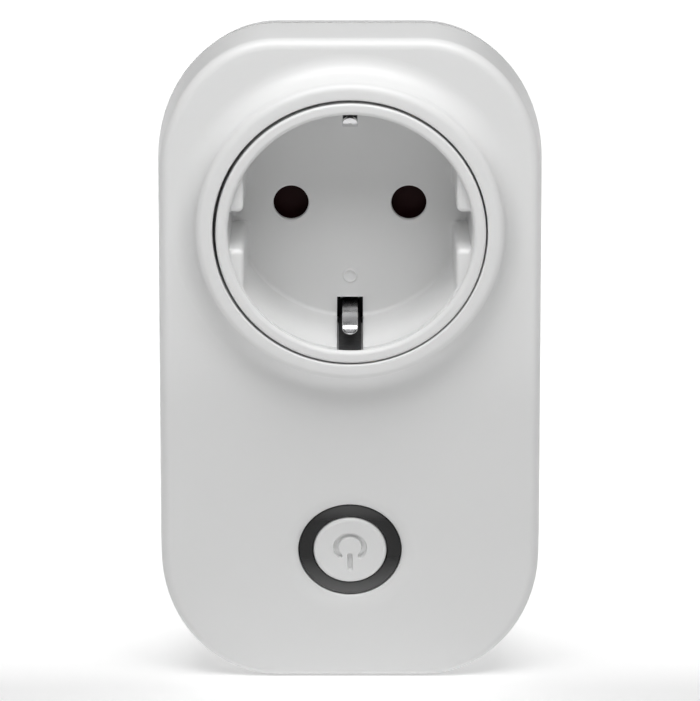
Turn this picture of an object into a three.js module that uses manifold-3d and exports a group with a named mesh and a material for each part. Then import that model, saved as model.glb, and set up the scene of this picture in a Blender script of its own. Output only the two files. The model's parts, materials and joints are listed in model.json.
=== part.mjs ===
// Smart plug: a mains socket with a relay board, plugged into a wall socket by its rear boss.
// Millimetres. +Z up, the socket faces -Y, the plug pins point to +Y.
// Origin: centre of the plug's mating face, on the common axis of plug and socket.
import * as THREE from 'three';
import { mergeVertices } from 'three/addons/utils/BufferGeometryUtils.js';
import Module from 'manifold-3d';

const wasm = await Module();
wasm.setup();

// ---------------------------------------------------------------- driving dimensions
// Body outline, seen from the front
const bodyTop = 30.9; // above the socket axis
const bodyBottom = -80.5;
const bodyWidth = 62; // at half height
const widthGrowth = 0.012; // extra width per millimetre downwards
const cornerWide = 19.3; // the corners are quarter ellipses
const cornerTall = 22.8;
const cornerSteps = 7;
const roundSides = 44; // facets of the large round shapes
const buttonSides = 32;
const holeSides = 24; // pin holes of the socket
const mediumSides = 20; // pins, cans and their holes
const smallSides = 12; // screws, posts and their holes

// Stations from front to back
const bossDepth = 17.5; // mating face to the back of the body
const bodyDepth = 31.3; // back of the body to the upper front face
const collarHeight = 4.7;
const frontShellDepth = 9.4; // front face to the parting line
const slopeStart = -25; // below this height the face leans back
const faceSlope = THREE.MathUtils.degToRad(9.2);
const shellWall = 2;
const edgeRound = 1.5;
const frontDraft = 0.4;
const rearTaper = 9.5; // how far the rear shell draws in on its sides and top
const rearFootTaper = 1.8; // and at its foot, which the plug can stand on
const partingGap = 0.3;

// General clearances
const gap = 0.3; // between fixed pieces
const screwGap = 0.3;
const overrun = 1; // cutting tools run this far past what they cut

// Socket recess
const insertRadius = 21.5;
const rimWidth = 2.8; // flat rim of the collar
const collarShoulder = 1.2;
const collarFillet = 3.4; // concave foot of the collar
const collarStep = 0.3; // between the shoulder and the foot
const lipWidth = 2;
const lipRound = 0.5;
const recessDraft = 0.3;
const recessDepth = 17.5;
const floorThickness = 2.2;
const ledgeDepth = 1.5; // the key segments start this far below the lip
const keyInset = 2.6; // how far the key segments stand into the recess
const keyNotch = 6.2;
const pinSpacing = 19;
const pinHoleRadius = 2.83;
const earthSlotWidth = 4.2;
const earthSlotReach = 3.6; // from the recess wall towards the axis
const earthSlotTop = 0.85; // below the lip
const earthSlotWall = 0.5;
const flangeWidth = 2.7;
const flangeThickness = 1.8;

// Contacts
const stripThickness = 0.6;
const fingerWidth = 2.5;
const fingerReach = 3.5; // the fingers' crests stand this far out of the recess wall
const fingerCrestDepth = 7.1; // below the lip
const fingerTipDepth = 4.1;
const fingerTipLift = 2; // the tips lean back towards the wall
const fingerRootLift = 1.1;
const bridgeWidth = 5;
const bridgeRoot = 5.1; // from the fingers' roots to the ends of the wide part
const earthTabLength = 4;
const earthTabWidth = 3;
const carrierClearance = 0.7; // between the carrier and the insert's radius
const tongueThickness = 0.8;
const tongueTop = 1.2; // below the lip
const contactWidth = 7.4;
const contactHalfGap = 2.35;
const carrierThickness = 2;
const chamberWidth = 8.4;
const chamberHeight = 10;
const chamberWall = 0.7;
const chamberLength = 14;
const tabDrop = 7.5;
const shutterThickness = 1.6;
const shutterLobe = 3.8;
const shutterEdge = 0.2;
const pivotRadius = 1.3;
const pivotPlay = 0.25;
const guidePlay = 0.2;
const springRadius = 2.2;
const springWire = 0.3;
const springPitch = 0.9;
const contactPinch = 3; // below the mouth of the contact
const contactTailX = 2.1;

// Plug
const bossMargin = 9.4; // from the pin axes to the rim of the boss
const bossWall = 3.6;
const bossFlatInset = 2.6; // key flats of the plug
const bossRib = 5.4;
const bossRound = 0.8;
const matingWall = 2.5;
const pinRadius = 2.4;
const pinLength = 19;
const earthHoleOffset = 10;
const earthHoleRadius = 2.7;
const clipWidth = 5;
const clipThickness = 0.8;
const clipLength = 13;
const clipChannel = 1.7;
const clipBow = 0.5; // the clip's arms bulge out by this
const clipPlay = 2.3; // room for the clip's bends behind the mating wall
const eyeRadius = 4.4;
const pinFlange = 1; // wider than the pin
const pinDome = 2;
const tailRadius = 1.6;
const tailLength = 2.2; // behind the pin bridge
const plateThickness = 2;
const plateMargin = 2.9; // of the pin bridge round the pin axes
const plateHalfHeight = 4.6;
const stakeRadius = 1;
const stakeX = 4.4;
const stakeDrop = 7;

// Button and light ring
const buttonDrop = 32.7; // from the start of the slope, along the face
const capRadius = 5.9;
const capRecess = 0.5;
const capEdge = 0.4;
const capFlange = 1; // wider than the cap
const ringWidth = 1.95;
const ringRecess = 0.9;
const ringFlange = 1.9; // wider than the ring
const ringTube = 0.4; // the light guide behind the flange, wider than the ring
const ringToBoard = 1.8;
const dishWidth = 2.4;
const dishDepth = 0.7;
const signRadius = 2.3; // power sign: a ring with an opening at its foot, and a bar
const signStroke = 0.75;
const signDepth = 0.3;
const signBar = [-4.2, -1.2];
const signOpening = THREE.MathUtils.degToRad(46); // to each side of the bar

// Board
const boardDepth = 11; // front of the board behind the lower face
const boardThickness = 1.6;
const boardSideRoom = 6; // from the body's side to the board
const boardTopDrop = 3;
const boardFootRoom = 7.22;
const boardCorner = 3;
const boardScrewInset = 3.5;
const boardScrewDrop = 30;
const switchHeight = 3.5;
const switchSize = 6;
const plungerRadius = 1.75;
const plungerReach = 1.2;
const plungerPlay = 0.2;
const ledSize = [1.6, 1.2, 0.8];
const padDrop = 4.4; // of the wires' solder pads

// Screws
const screwRadius = 1.4;
const screwHead = 2.6;
const screwHeadHeight = 1.7;
const slotWidth = 0.7;
const slotDepth = 0.9;
const towerWall = 1.5;
const rearTowerWall = 1.2;
const upperScrewInset = [9.5, 10.4]; // from the body's side and top
const lowerScrewInset = [10, 16.5]; // from the body's side and foot
const insertPostAngles = [45, 135, 195, 345];
const screwSeatDepth = 15.5; // below the back, at the most
const screwSeatWall = 4;
const carrierScrewInset = 4.2; // from the insert's radius
const carrierScrewAngle = THREE.MathUtils.degToRad(46);
const wireRadius = 0.9;

// ---------------------------------------------------------------- derived stations
const backY = -bossDepth;
const faceY = backY - bodyDepth;
const rimY = faceY - collarHeight;
const floorY = rimY + recessDepth;
const floorBackY = floorY + floorThickness;
const flangeFrontY = faceY + shellWall + gap;
const flangeBackY = flangeFrontY + flangeThickness;
const shutterFrontY = floorBackY + gap;
const shutterBackY = shutterFrontY + shutterThickness;
const carrierFrontY = shutterBackY + gap;
const carrierBackY = carrierFrontY + carrierThickness;
const chamberBackY = carrierBackY + chamberLength;
const bridgeFrontY = carrierBackY + gap;
const rearInnerY = backY - shellWall;
const pinX = pinSpacing / 2;
const springArm = pinX - chamberWidth / 2 - gap;
const recessMouth = insertRadius - lipWidth;
const recessFloor = recessMouth - recessDraft;
const keyHalfWidth = recessMouth - keyInset;
const earthSlotStart = recessMouth - earthSlotReach;
const earthSlotEnd = insertRadius - earthSlotWall;
const flangeRadius = insertRadius + flangeWidth;
const collarOuter = insertRadius + gap + rimWidth;
const fingerCrest = recessMouth - fingerReach;
const fingerTip = fingerCrest + fingerTipLift;
const fingerRoot = fingerCrest + fingerRootLift;
const bossRadius = pinX + bossMargin;
const bossInner = bossRadius - bossWall;
const bossFlat = bossRadius - bossFlatInset;
const ringInner = capRadius + gap;
const ringOuter = ringInner + ringWidth;
const buttonHole = ringOuter + gap;
const boardHalfWidth = bodyWidth / 2 - boardSideRoom;
const boardScrewX = boardHalfWidth - boardScrewInset;
const boardHeight = (slopeStart - bodyBottom) / Math.cos(faceSlope) - boardTopDrop - boardFootRoom;
const upperScrew = [bodyWidth / 2 - upperScrewInset[0], bodyTop - upperScrewInset[1]];
const lowerScrew = [bodyWidth / 2 - lowerScrewInset[0], bodyBottom + lowerScrewInset[1]];
const housingScrews = [upperScrew, lowerScrew].flatMap(([x, z]) => [[-x, z], [x, z]]);
const carrierScrews = [1, -1].map(side => {
  const reach = side * (insertRadius - carrierScrewInset);
  return [reach * Math.cos(carrierScrewAngle), reach * Math.sin(carrierScrewAngle)];
});
const lowerFaceY = z => faceY + Math.tan(faceSlope) * Math.max(0, slopeStart - z);
const splitTop = faceY + frontShellDepth;
const splitBottom = lowerFaceY(bodyBottom) + frontShellDepth;
const splitY = z => splitTop + (splitBottom - splitTop) * (bodyTop - z) / (bodyTop - bodyBottom);

// ---------------------------------------------------------------- solids
function solid(geometry) {
  const bare = geometry.index ? geometry.clone() : geometry;
  bare.deleteAttribute('normal');
  bare.deleteAttribute('uv');
  const merged = mergeVertices(bare, 1e-4);
  const vertices = new Float32Array(merged.attributes.position.array);
  const triangles = new Uint32Array(merged.index.array);
  const corner = i => new THREE.Vector3().fromArray(vertices, 3 * i);
  let volume = 0;
  for (let t = 0; t < triangles.length; t += 3) {
    const [a, b, c] = [0, 1, 2].map(k => corner(triangles[t + k]));
    volume += a.dot(b.cross(c));
  }
  if (volume < 0) triangles.reverse();
  const mesh = new wasm.Mesh({ numProp: 3, vertProperties: vertices, triVerts: triangles });
  mesh.merge();
  return new wasm.Manifold(mesh);
}

function join(...solids) {
  return solids.reduce((whole, next) => whole.add(next));
}

function cut(body, ...tools) {
  return tools.reduce((rest, tool) => rest.subtract(tool), body);
}

function box(x0, x1, y0, y1, z0, z1) {
  const geometry = new THREE.BoxGeometry(x1 - x0, y1 - y0, z1 - z0);
  return solid(geometry.translate((x0 + x1) / 2, (y0 + y1) / 2, (z0 + z1) / 2));
}

function rod(radius, y0, y1, x = 0, z = 0, sides = 24) {
  const geometry = new THREE.CylinderGeometry(radius, radius, y1 - y0, sides);
  return solid(geometry.translate(x, (y0 + y1) / 2, z));
}

// Turned about the Y axis; the profile is a list of [radius, y]
function turned(profile, x = 0, z = 0, sides = 48) {
  const points = profile.map(([radius, y]) => new THREE.Vector2(radius, y));
  return solid(new THREE.LatheGeometry(points, sides).translate(x, 0, z));
}

// A washer-like profile is closed on itself
function turnedRing(profile, x = 0, z = 0, sides = 48) {
  return turned([...profile, profile[0]], x, z, sides);
}

function plane(points) {
  return new THREE.Shape(points.map(([a, b]) => new THREE.Vector2(a, b)));
}

// Shape in (y, z), drawn out along X
function alongX(shape, x0, x1) {
  const options = { depth: x1 - x0, bevelEnabled: false, curveSegments: 8 };
  const geometry = new THREE.ExtrudeGeometry(shape, options);
  const turn = new THREE.Matrix4().makeBasis(
    new THREE.Vector3(0, 1, 0), new THREE.Vector3(0, 0, 1), new THREE.Vector3(1, 0, 0));
  return solid(geometry.applyMatrix4(turn).translate(x0, 0, 0));
}

// Shape in (x, z), drawn out along Y
function alongY(shape, y0, y1, bevel = 0) {
  const options = {
    depth: y1 - y0 - 2 * bevel,
    bevelEnabled: bevel > 0,
    bevelThickness: bevel,
    bevelSize: bevel,
    bevelOffset: -bevel,
    bevelSegments: 1,
    curveSegments: 8,
  };
  const geometry = new THREE.ExtrudeGeometry(shape, options);
  return solid(geometry.rotateX(Math.PI / 2).translate(0, y1 - bevel, 0));
}

// Shape in (x, y), drawn out along Z
function alongZ(shape, z0, z1) {
  const options = { depth: z1 - z0, bevelEnabled: false, curveSegments: 8 };
  const geometry = new THREE.ExtrudeGeometry(shape, options);
  return solid(geometry.translate(0, 0, z0));
}

// A bent strip: the outline of an open line, offset to both sides
function strip(line, thickness) {
  const left = [];
  const right = [];
  line.forEach((point, i) => {
    const here = new THREE.Vector2(...point);
    const before = i > 0 ? here.clone().sub(new THREE.Vector2(...line[i - 1])).normalize() : null;
    const after = i < line.length - 1 ? new THREE.Vector2(...line[i + 1]).sub(here).normalize() : null;
    const along = (before ?? after).clone().add(after ?? before).normalize();
    const stretch = 1 / along.dot(before ?? after);
    const side = new THREE.Vector2(-along.y, along.x).multiplyScalar(stretch * thickness / 2);
    left.push(here.clone().add(side));
    right.unshift(here.clone().sub(side));
  });
  return new THREE.Shape([...left, ...right]);
}

function wire(points, radius = wireRadius, steps = 16, curveSegments = 3) {
  const path = new THREE.CatmullRomCurve3(points.map(p => new THREE.Vector3(...p)), false, 'centripetal');
  const section = new THREE.Shape().absarc(0, 0, radius, 0, 2 * Math.PI);
  return solid(new THREE.ExtrudeGeometry(section, { steps, extrudePath: path, curveSegments }));
}

// ---------------------------------------------------------------- body outline
// Closed ring of [x, z], counter-clockwise from the front, drawn in by inset (and by footInset at the foot)
function outline(inset, footInset = inset) {
  const half = bodyWidth / 2;
  const middle = (bodyTop + bodyBottom) / 2;
  const cornerX = half - cornerWide;
  const upperZ = bodyTop - cornerTall;
  const lowerZ = bodyBottom + cornerTall;
  const ring = [];
  const arc = (sideX, centreZ, radiusZ, from) => {
    for (let i = 0; i <= cornerSteps; i++) {
      const angle = from + (Math.PI / 2) * (i / cornerSteps);
      const x = sideX * cornerX + (cornerWide - inset) * Math.cos(angle);
      ring.push([x, centreZ + radiusZ * Math.sin(angle)]);
    }
  };
  arc(1, lowerZ, cornerTall - footInset, -Math.PI / 2);
  ring.push([half - inset, slopeStart]);
  arc(1, upperZ, cornerTall - inset, 0);
  arc(-1, upperZ, cornerTall - inset, Math.PI / 2);
  ring.push([inset - half, slopeStart]);
  arc(-1, lowerZ, cornerTall - footInset, Math.PI);
  return ring.map(([x, z]) => [x * (1 + widthGrowth * (middle - z) / bodyWidth), z]);
}

function triangulate(ring, indices) {
  const contour = indices.map(i => new THREE.Vector2(...ring[i]));
  return THREE.ShapeUtils.triangulateShape(contour, []).map(face => {
    const [a, b, c] = face.map(k => contour[k]);
    const area = (b.x - a.x) * (c.y - a.y) - (c.x - a.x) * (b.y - a.y);
    const ordered = area > 0 ? face : [face[0], face[2], face[1]];
    return ordered.map(k => indices[k]);
  });
}

// Solid through rings from front to back; each ring is {ring, y}, with y a function of the height
function loft(levels) {
  const count = levels[0].ring.length;
  const positions = levels.flatMap(({ ring, y }) => ring.flatMap(([x, z]) => [x, y(z), z]));
  const triangles = [];
  for (let k = 0; k < levels.length - 1; k++) {
    for (let i = 0; i < count; i++) {
      const j = (i + 1) % count;
      const [a, b] = [k * count + i, k * count + j];
      const [d, c] = [a + count, b + count];
      triangles.push(a, d, c, a, c, b);
    }
  }
  const first = levels[0].ring;
  const all = first.map((_, i) => i);
  const upper = all.filter(i => first[i][1] >= slopeStart);
  const lower = all.filter(i => first[i][1] <= slopeStart);
  const front = [...triangulate(first, upper), ...triangulate(first, lower)];
  const last = levels.at(-1).ring;
  const lastStart = (levels.length - 1) * count;
  const back = [...triangulate(last, upper), ...triangulate(last, lower)];
  front.forEach(face => triangles.push(...face));
  back.forEach(([a, b, c]) => triangles.push(lastStart + a, lastStart + c, lastStart + b));
  const geometry = new THREE.BufferGeometry();
  geometry.setAttribute('position', new THREE.Float32BufferAttribute(positions, 3));
  geometry.setIndex(triangles);
  return solid(geometry);
}

// ---------------------------------------------------------------- front shell
const frontDepth = depth => z => lowerFaceY(z) + depth;
const splitDepth = depth => z => splitY(z) + depth;
const roundSteps = 3;

function frontBlank() {
  const levels = [];
  for (let i = 0; i <= roundSteps; i++) {
    const angle = (Math.PI / 2) * (i / roundSteps);
    const inset = edgeRound * (1 - Math.sin(angle));
    levels.push({
      ring: outline(frontDraft + inset, inset),
      y: frontDepth(edgeRound * (1 - Math.cos(angle))),
    });
  }
  levels.push({ ring: outline(0, 0), y: splitDepth(-partingGap / 2) });
  return loft(levels);
}

function frontHollow() {
  const wall = shellWall + frontDraft;
  return loft([
    { ring: outline(wall, shellWall), y: frontDepth(shellWall) },
    { ring: outline(shellWall), y: splitDepth(overrun) },
  ]);
}

// The raised collar: flat rim, rounded shoulder, wall and concave foot that runs out on the face
function collar() {
  const bore = insertRadius + gap;
  const chamfer = 0.3;
  const profile = [[bore, faceY + shellWall / 2], [bore, rimY + chamfer], [bore + chamfer, rimY]];
  for (let i = 0; i <= 3; i++) {
    const angle = (Math.PI / 2) * (i / 3);
    profile.push([
      collarOuter - collarShoulder + collarShoulder * Math.sin(angle),
      rimY + collarShoulder * (1 - Math.cos(angle)),
    ]);
  }
  for (let i = 0; i <= 4; i++) {
    const angle = (Math.PI / 2) * (i / 4);
    profile.push([
      collarOuter + collarStep + collarFillet * (1 - Math.cos(angle)),
      faceY - collarFillet * (1 - Math.sin(angle)),
    ]);
  }
  profile.push([collarOuter + collarFillet, faceY + shellWall / 2]);
  return turnedRing(profile, 0, 0, roundSides);
}

// In the frame of the lower face: y runs inwards from the face and z along it, from the start of the slope
const sloped = (...solids) => solids.map(s => s
  .rotate([THREE.MathUtils.radToDeg(faceSlope), 0, 0])
  .translate([0, faceY, slopeStart]));

function buttonCut() {
  const profile = [[0, -overrun], [buttonHole + dishWidth, -overrun], [buttonHole + dishWidth, 0]];
  for (let i = 1; i <= 3; i++) {
    const angle = (Math.PI / 2) * (i / 3);
    profile.push([buttonHole + dishWidth * (1 - Math.sin(angle)), dishDepth * (1 - Math.cos(angle))]);
  }
  profile.push([buttonHole, shellWall + overrun], [0, shellWall + overrun]);
  return turned(profile, 0, -buttonDrop, buttonSides);
}

// Tower for a screw that comes from behind, with its pilot hole
function frontTower([x, z]) {
  const outer = screwRadius + towerWall;
  const start = lowerFaceY(z) + shellWall / 2;
  return rod(outer, start, splitY(z) - partingGap / 2, x, z, smallSides);
}

function frontPilot([x, z]) {
  return rod(screwRadius + screwGap, lowerFaceY(z) + shellWall + overrun, backY, x, z, smallSides);
}

function boardPost(x) {
  const outer = screwRadius + towerWall;
  return rod(outer, shellWall / 2, boardDepth - gap, x, -boardScrewDrop, smallSides);
}

function boardPilot(x) {
  const inner = screwRadius + screwGap;
  return rod(inner, shellWall + overrun, boardDepth + overrun, x, -boardScrewDrop, smallSides);
}

function frontShell() {
  const hollowed = cut(frontBlank(), frontHollow());
  const posts = sloped(boardPost(-boardScrewX), boardPost(boardScrewX));
  const blank = join(hollowed, collar(), ...housingScrews.map(frontTower), ...posts);
  const bore = rod(insertRadius + gap, rimY - overrun, faceY + shellWall + overrun, 0, 0, roundSides);
  const pilots = sloped(boardPilot(-boardScrewX), boardPilot(boardScrewX));
  return cut(blank, bore, ...sloped(buttonCut()), ...housingScrews.map(frontPilot), ...pilots);
}

// ---------------------------------------------------------------- rear shell
// Share of the depth behind the parting line, share of the taper
const rearProfile = [[0, 0], [0.25, 0.12], [0.55, 0.34], [0.8, 0.58], [0.93, 0.8], [1, 1]];

function rearLoft(inward) {
  return loft(rearProfile.map(([depth, taper], i) => ({
    ring: outline(inward + rearTaper * taper, inward + rearFootTaper * Math.max(0, 2 * taper - 1)),
    y: z => {
      const front = splitY(z) + (inward && i === 0 ? -overrun : partingGap / 2);
      return front + depth * (backY - inward - front);
    },
  })));
}

// Round boss with a flat and a key rib on its left and right
function bossSection(radius, flat, rib) {
  const shape = new THREE.Shape();
  const flatAngle = Math.acos(flat / radius);
  const ribReach = Math.sqrt((radius - gap) ** 2 - (rib / 2) ** 2);
  const reach = radius * Math.sin(flatAngle);
  shape.moveTo(flat, -reach);
  shape.lineTo(flat, -rib / 2);
  shape.lineTo(ribReach, -rib / 2);
  shape.lineTo(ribReach, rib / 2);
  shape.lineTo(flat, rib / 2);
  shape.absarc(0, 0, radius, flatAngle, Math.PI - flatAngle, false);
  shape.lineTo(-flat, rib / 2);
  shape.lineTo(-ribReach, rib / 2);
  shape.lineTo(-ribReach, -rib / 2);
  shape.lineTo(-flat, -rib / 2);
  shape.absarc(0, 0, radius, Math.PI + flatAngle, 2 * Math.PI - flatAngle, false);
  return shape;
}

function plugBoss() {
  const options = {
    depth: bossDepth + shellWall / 2 - bossRound,
    bevelThickness: bossRound,
    bevelSize: bossRound,
    bevelOffset: -bossRound,
    bevelSegments: 1,
    curveSegments: 11,
  };
  const block = new THREE.ExtrudeGeometry(bossSection(bossRadius, bossFlat, bossRib), options);
  return solid(block.rotateX(Math.PI / 2).translate(0, -bossRound, 0));
}

// A post from the back wall that steadies the flange of the socket insert
function insertPost(angle) {
  const radius = (flangeRadius - insertRadius) / 2 - gap;
  const reach = (flangeRadius + insertRadius) / 2;
  const [x, z] = [reach * Math.cos(angle), reach * Math.sin(angle)];
  return rod(radius, flangeBackY + gap, rearInnerY + shellWall / 2, x, z, smallSides);
}

const screwSeatY = ([, z]) => Math.max(splitY(z) + screwSeatWall, backY - screwSeatDepth);
const rearTowerRadius = screwHead + screwGap + rearTowerWall;

function rearTower([x, z]) {
  return rod(rearTowerRadius, splitY(z) + partingGap / 2 + 0.02, backY + overrun, x, z, smallSides);
}

function rearScrewCut([x, z]) {
  const seat = screwSeatY([x, z]);
  return join(
    rod(screwRadius + screwGap, faceY, backY + overrun, x, z, smallSides),
    rod(screwHead + screwGap, seat, backY + overrun, x, z, smallSides));
}

function clipPassage(side) {
  const half = clipWidth / 2 + gap;
  const channel = box(-half, half, -clipLength - 1, overrun, bossRadius - clipChannel, bossRadius + overrun);
  const windowStart = -matingWall - clipThickness - clipPlay;
  const window = box(-half, half, windowStart, -matingWall, bossInner - overrun, bossRadius);
  return join(channel, window).rotate([0, side > 0 ? 0 : 180, 0]);
}

function rearShell() {
  const skin = rearLoft(0);
  const towers = housingScrews.map(t => rearTower(t).intersect(skin));
  const posts = insertPostAngles.map(angle => insertPost(THREE.MathUtils.degToRad(angle)).intersect(skin));
  const bossHollow = rod(bossInner, rearInnerY - overrun, -matingWall, 0, 0, roundSides);
  const hollow = join(rearLoft(shellWall), bossHollow);
  const stakes = [-stakeX, stakeX].map(x =>
    rod(stakeRadius, plateBackY + gap, -matingWall / 2, x, -stakeDrop, smallSides));
  const blank = join(cut(join(skin, plugBoss()), hollow), ...towers, ...posts, ...stakes);
  const wallBack = -matingWall - overrun;
  const pinHoles = [-pinX, pinX].map(x => rod(pinRadius + gap, wallBack, overrun, x, 0, mediumSides));
  const earthHole = rod(earthHoleRadius, wallBack, overrun, 0, earthHoleOffset, mediumSides);
  const passages = [clipPassage(1), clipPassage(-1)];
  return cut(blank, ...pinHoles, earthHole, ...passages, ...housingScrews.map(rearScrewCut));
}

// ---------------------------------------------------------------- socket insert
function recess() {
  const far = 2 * insertRadius;
  const above = rimY - overrun;
  const profile = [
    [0, above], [recessMouth + lipRound, above], [recessMouth + lipRound, rimY],
    [recessMouth, rimY + lipRound], [recessFloor, floorY], [0, floorY],
  ];
  const round = turned(profile, 0, 0, roundSides);
  const keyFoot = keyHalfWidth - recessDraft;
  const key = alongZ(plane([
    [-keyHalfWidth, above], [keyHalfWidth, above], [keyFoot, floorY + overrun], [-keyFoot, floorY + overrun],
  ]), -far, far);
  const notch = box(-far, far, above, floorY + overrun, -keyNotch / 2, keyNotch / 2);
  const mouth = box(-far, far, above, rimY + ledgeDepth, -far, far);
  return round.intersect(join(key, notch, mouth));
}

function socketInsert() {
  const cup = turned([
    [0, rimY], [insertRadius - lipRound, rimY], [insertRadius, rimY + lipRound],
    [insertRadius, flangeFrontY],
    [flangeRadius, flangeFrontY], [flangeRadius, flangeBackY], [insertRadius, flangeBackY],
    [insertRadius, floorBackY], [0, floorBackY],
  ], 0, 0, roundSides);
  const posts = carrierScrews.map(([x, z]) =>
    rod(screwRadius + towerWall, floorBackY - floorThickness / 4, carrierFrontY - gap, x, z, smallSides));
  const half = earthSlotWidth / 2;
  const slot = box(-half, half, rimY + earthSlotTop, floorBackY + overrun, earthSlotStart, earthSlotEnd);
  const holes = [-pinX, pinX].map(x =>
    rod(pinHoleRadius, floorY - overrun, floorBackY + overrun, x, 0, holeSides));
  const pilots = carrierScrews.map(([x, z]) =>
    rod(screwRadius, floorY + floorThickness / 2, carrierFrontY, x, z, smallSides));
  return cut(join(cup, ...posts), recess(), slot, slot.rotate([0, 180, 0]), ...holes, ...pilots);
}

// ---------------------------------------------------------------- contact carrier, shutter and contacts
const carrierRadius = insertRadius - carrierClearance;
const tongueOuter = earthSlotEnd - gap;

function contactCarrier() {
  const plate = rod(carrierRadius, carrierFrontY, carrierBackY, 0, 0, roundSides);
  const half = earthSlotWidth / 2 - gap;
  const tongueInner = tongueOuter - tongueThickness;
  const tongue = box(-half, half, rimY + tongueTop, carrierBackY, tongueInner, tongueOuter);
  const pivot = rod(pivotRadius, shutterFrontY, carrierFrontY + carrierThickness / 4, 0, 0, smallSides);
  const chamber = (x, shrink, startY, endY) => box(
    x - chamberWidth / 2 + shrink, x + chamberWidth / 2 - shrink, startY, endY,
    shrink - chamberHeight / 2, chamberHeight / 2 - shrink);
  const chambers = [-pinX, pinX].map(x => chamber(x, 0, carrierBackY - carrierThickness / 4, chamberBackY));
  const rooms = [-pinX, pinX].map(x => chamber(x, chamberWall, carrierBackY, chamberBackY + overrun));
  const through = [carrierFrontY - overrun, carrierBackY + overrun];
  const guides = [-pinX, pinX].map(x => rod(pinHoleRadius + guidePlay, ...through, x, 0, mediumSides));
  const slots = [-1, 1].map(side => box(
    -fingerWidth / 2 - gap, fingerWidth / 2 + gap, ...through,
    side * fingerRoot - stripThickness * 2, side * fingerRoot + stripThickness * 2));
  const screwHoles = carrierScrews.map(([x, z]) => rod(screwRadius, ...through, x, z, smallSides));
  const blank = join(plate, tongue, tongue.rotate([0, 180, 0]), pivot, ...chambers);
  return cut(blank, ...rooms, ...guides, ...slots, ...screwHoles);
}

function shutter() {
  const bar = new THREE.Shape();
  bar.moveTo(-pinX, -shutterLobe);
  bar.absarc(pinX, 0, shutterLobe, -Math.PI / 2, Math.PI / 2, false);
  bar.absarc(-pinX, 0, shutterLobe, Math.PI / 2, 3 * Math.PI / 2, false);
  const blank = alongY(bar, shutterFrontY, shutterBackY, shutterEdge);
  const through = [shutterFrontY - overrun, shutterBackY + overrun];
  return cut(blank, rod(pivotRadius + pivotPlay, ...through, 0, 0, smallSides));
}

// Torsion spring: coils round the back of the pivot boss, one arm on each side
function shutterSpring() {
  const turns = 2;
  const steps = 20;
  const startY = bridgeFrontY + stripThickness + springWire + 0.5;
  const points = [[-springArm, startY, springRadius]];
  for (let i = 0; i <= steps; i++) {
    const angle = Math.PI / 2 - 2 * Math.PI * turns * (i / steps);
    const y = startY + springPitch * turns * (i / steps);
    points.push([springRadius * Math.cos(angle), y, springRadius * Math.sin(angle)]);
  }
  points.push([springArm, startY + springPitch * turns, springRadius]);
  return wire(points, springWire, 34, 2);
}

function earthContact() {
  const crestY = rimY + fingerCrestDepth;
  const tipY = rimY + fingerTipDepth;
  const bridgeY = bridgeFrontY + stripThickness / 2;
  const upper = [
    [tipY, fingerTip], [crestY - 1.2, fingerCrest + 0.35], [crestY, fingerCrest],
    [crestY + 1.4, fingerCrest + 0.1], [floorY, fingerRoot],
    [bridgeY - 1, fingerRoot], [bridgeY, fingerRoot - 1],
  ];
  const lower = upper.map(([y, z]) => [y, -z]).reverse();
  const fingers = alongX(strip([...upper, ...lower], stripThickness), -fingerWidth / 2, fingerWidth / 2);
  const end = fingerRoot - bridgeRoot;
  const backFace = bridgeFrontY + stripThickness;
  const bridge = box(-bridgeWidth / 2, bridgeWidth / 2, bridgeFrontY, backFace, -end, end);
  const half = earthTabWidth / 2;
  const tab = box(-half, half, bridgeFrontY, bridgeFrontY + earthTabLength, -end, stripThickness - end);
  return join(fingers, bridge, tab);
}

const tailTabY = chamberBackY + gap + 0.1; // the pin contacts' solder tabs, behind the chambers

function pinContact(x) {
  const mouthY = carrierBackY + gap + 0.2;
  const pinchY = mouthY + contactPinch;
  const endY = chamberBackY - 1.4;
  const leaf = contactHalfGap + stripThickness / 2;
  const right = [
    [leaf + 0.45, mouthY], [leaf, pinchY], [leaf + 0.3, pinchY + 5], [leaf + 0.3, endY - 0.8],
    [leaf - 0.5, endY],
  ];
  const left = right.map(([a, y]) => [-a, y]).reverse();
  const clip = alongZ(strip([...right, ...left], stripThickness), -contactWidth / 2, contactWidth / 2);
  const half = stripThickness / 2;
  const tabX = -Math.sign(x) * contactTailX;
  const tail = box(-1.5, 1.5, endY - 0.2, tailTabY + stripThickness, -half, half);
  const tab = box(tabX - 1.4, tabX + 1.4, tailTabY, tailTabY + stripThickness, -tabDrop, half);
  return join(clip, tail, tab).translate([x, 0, 0]);
}

// ---------------------------------------------------------------- plug side
const flangeY = -matingWall - gap;
const plateFrontY = -(matingWall + clipThickness + 4 * gap + tailRadius);
const plateBackY = plateFrontY - plateThickness;
const pinTailY = plateBackY - tailLength;
const bridgeFootZ = -stakeDrop - stakeRadius - 1.2;

function plugPin(x) {
  const flange = pinRadius + pinFlange;
  const profile = [[0, pinLength]];
  for (let i = 1; i <= 4; i++) {
    const angle = (Math.PI / 2) * (i / 4);
    profile.push([pinRadius * Math.sin(angle), pinLength - pinDome * (1 - Math.cos(angle))]);
  }
  profile.push([pinRadius, flangeY], [flange, flangeY], [flange, plateFrontY + gap]);
  profile.push([tailRadius, plateFrontY + gap], [tailRadius, pinTailY], [0, pinTailY]);
  return turned(profile, x, 0, mediumSides);
}

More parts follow.
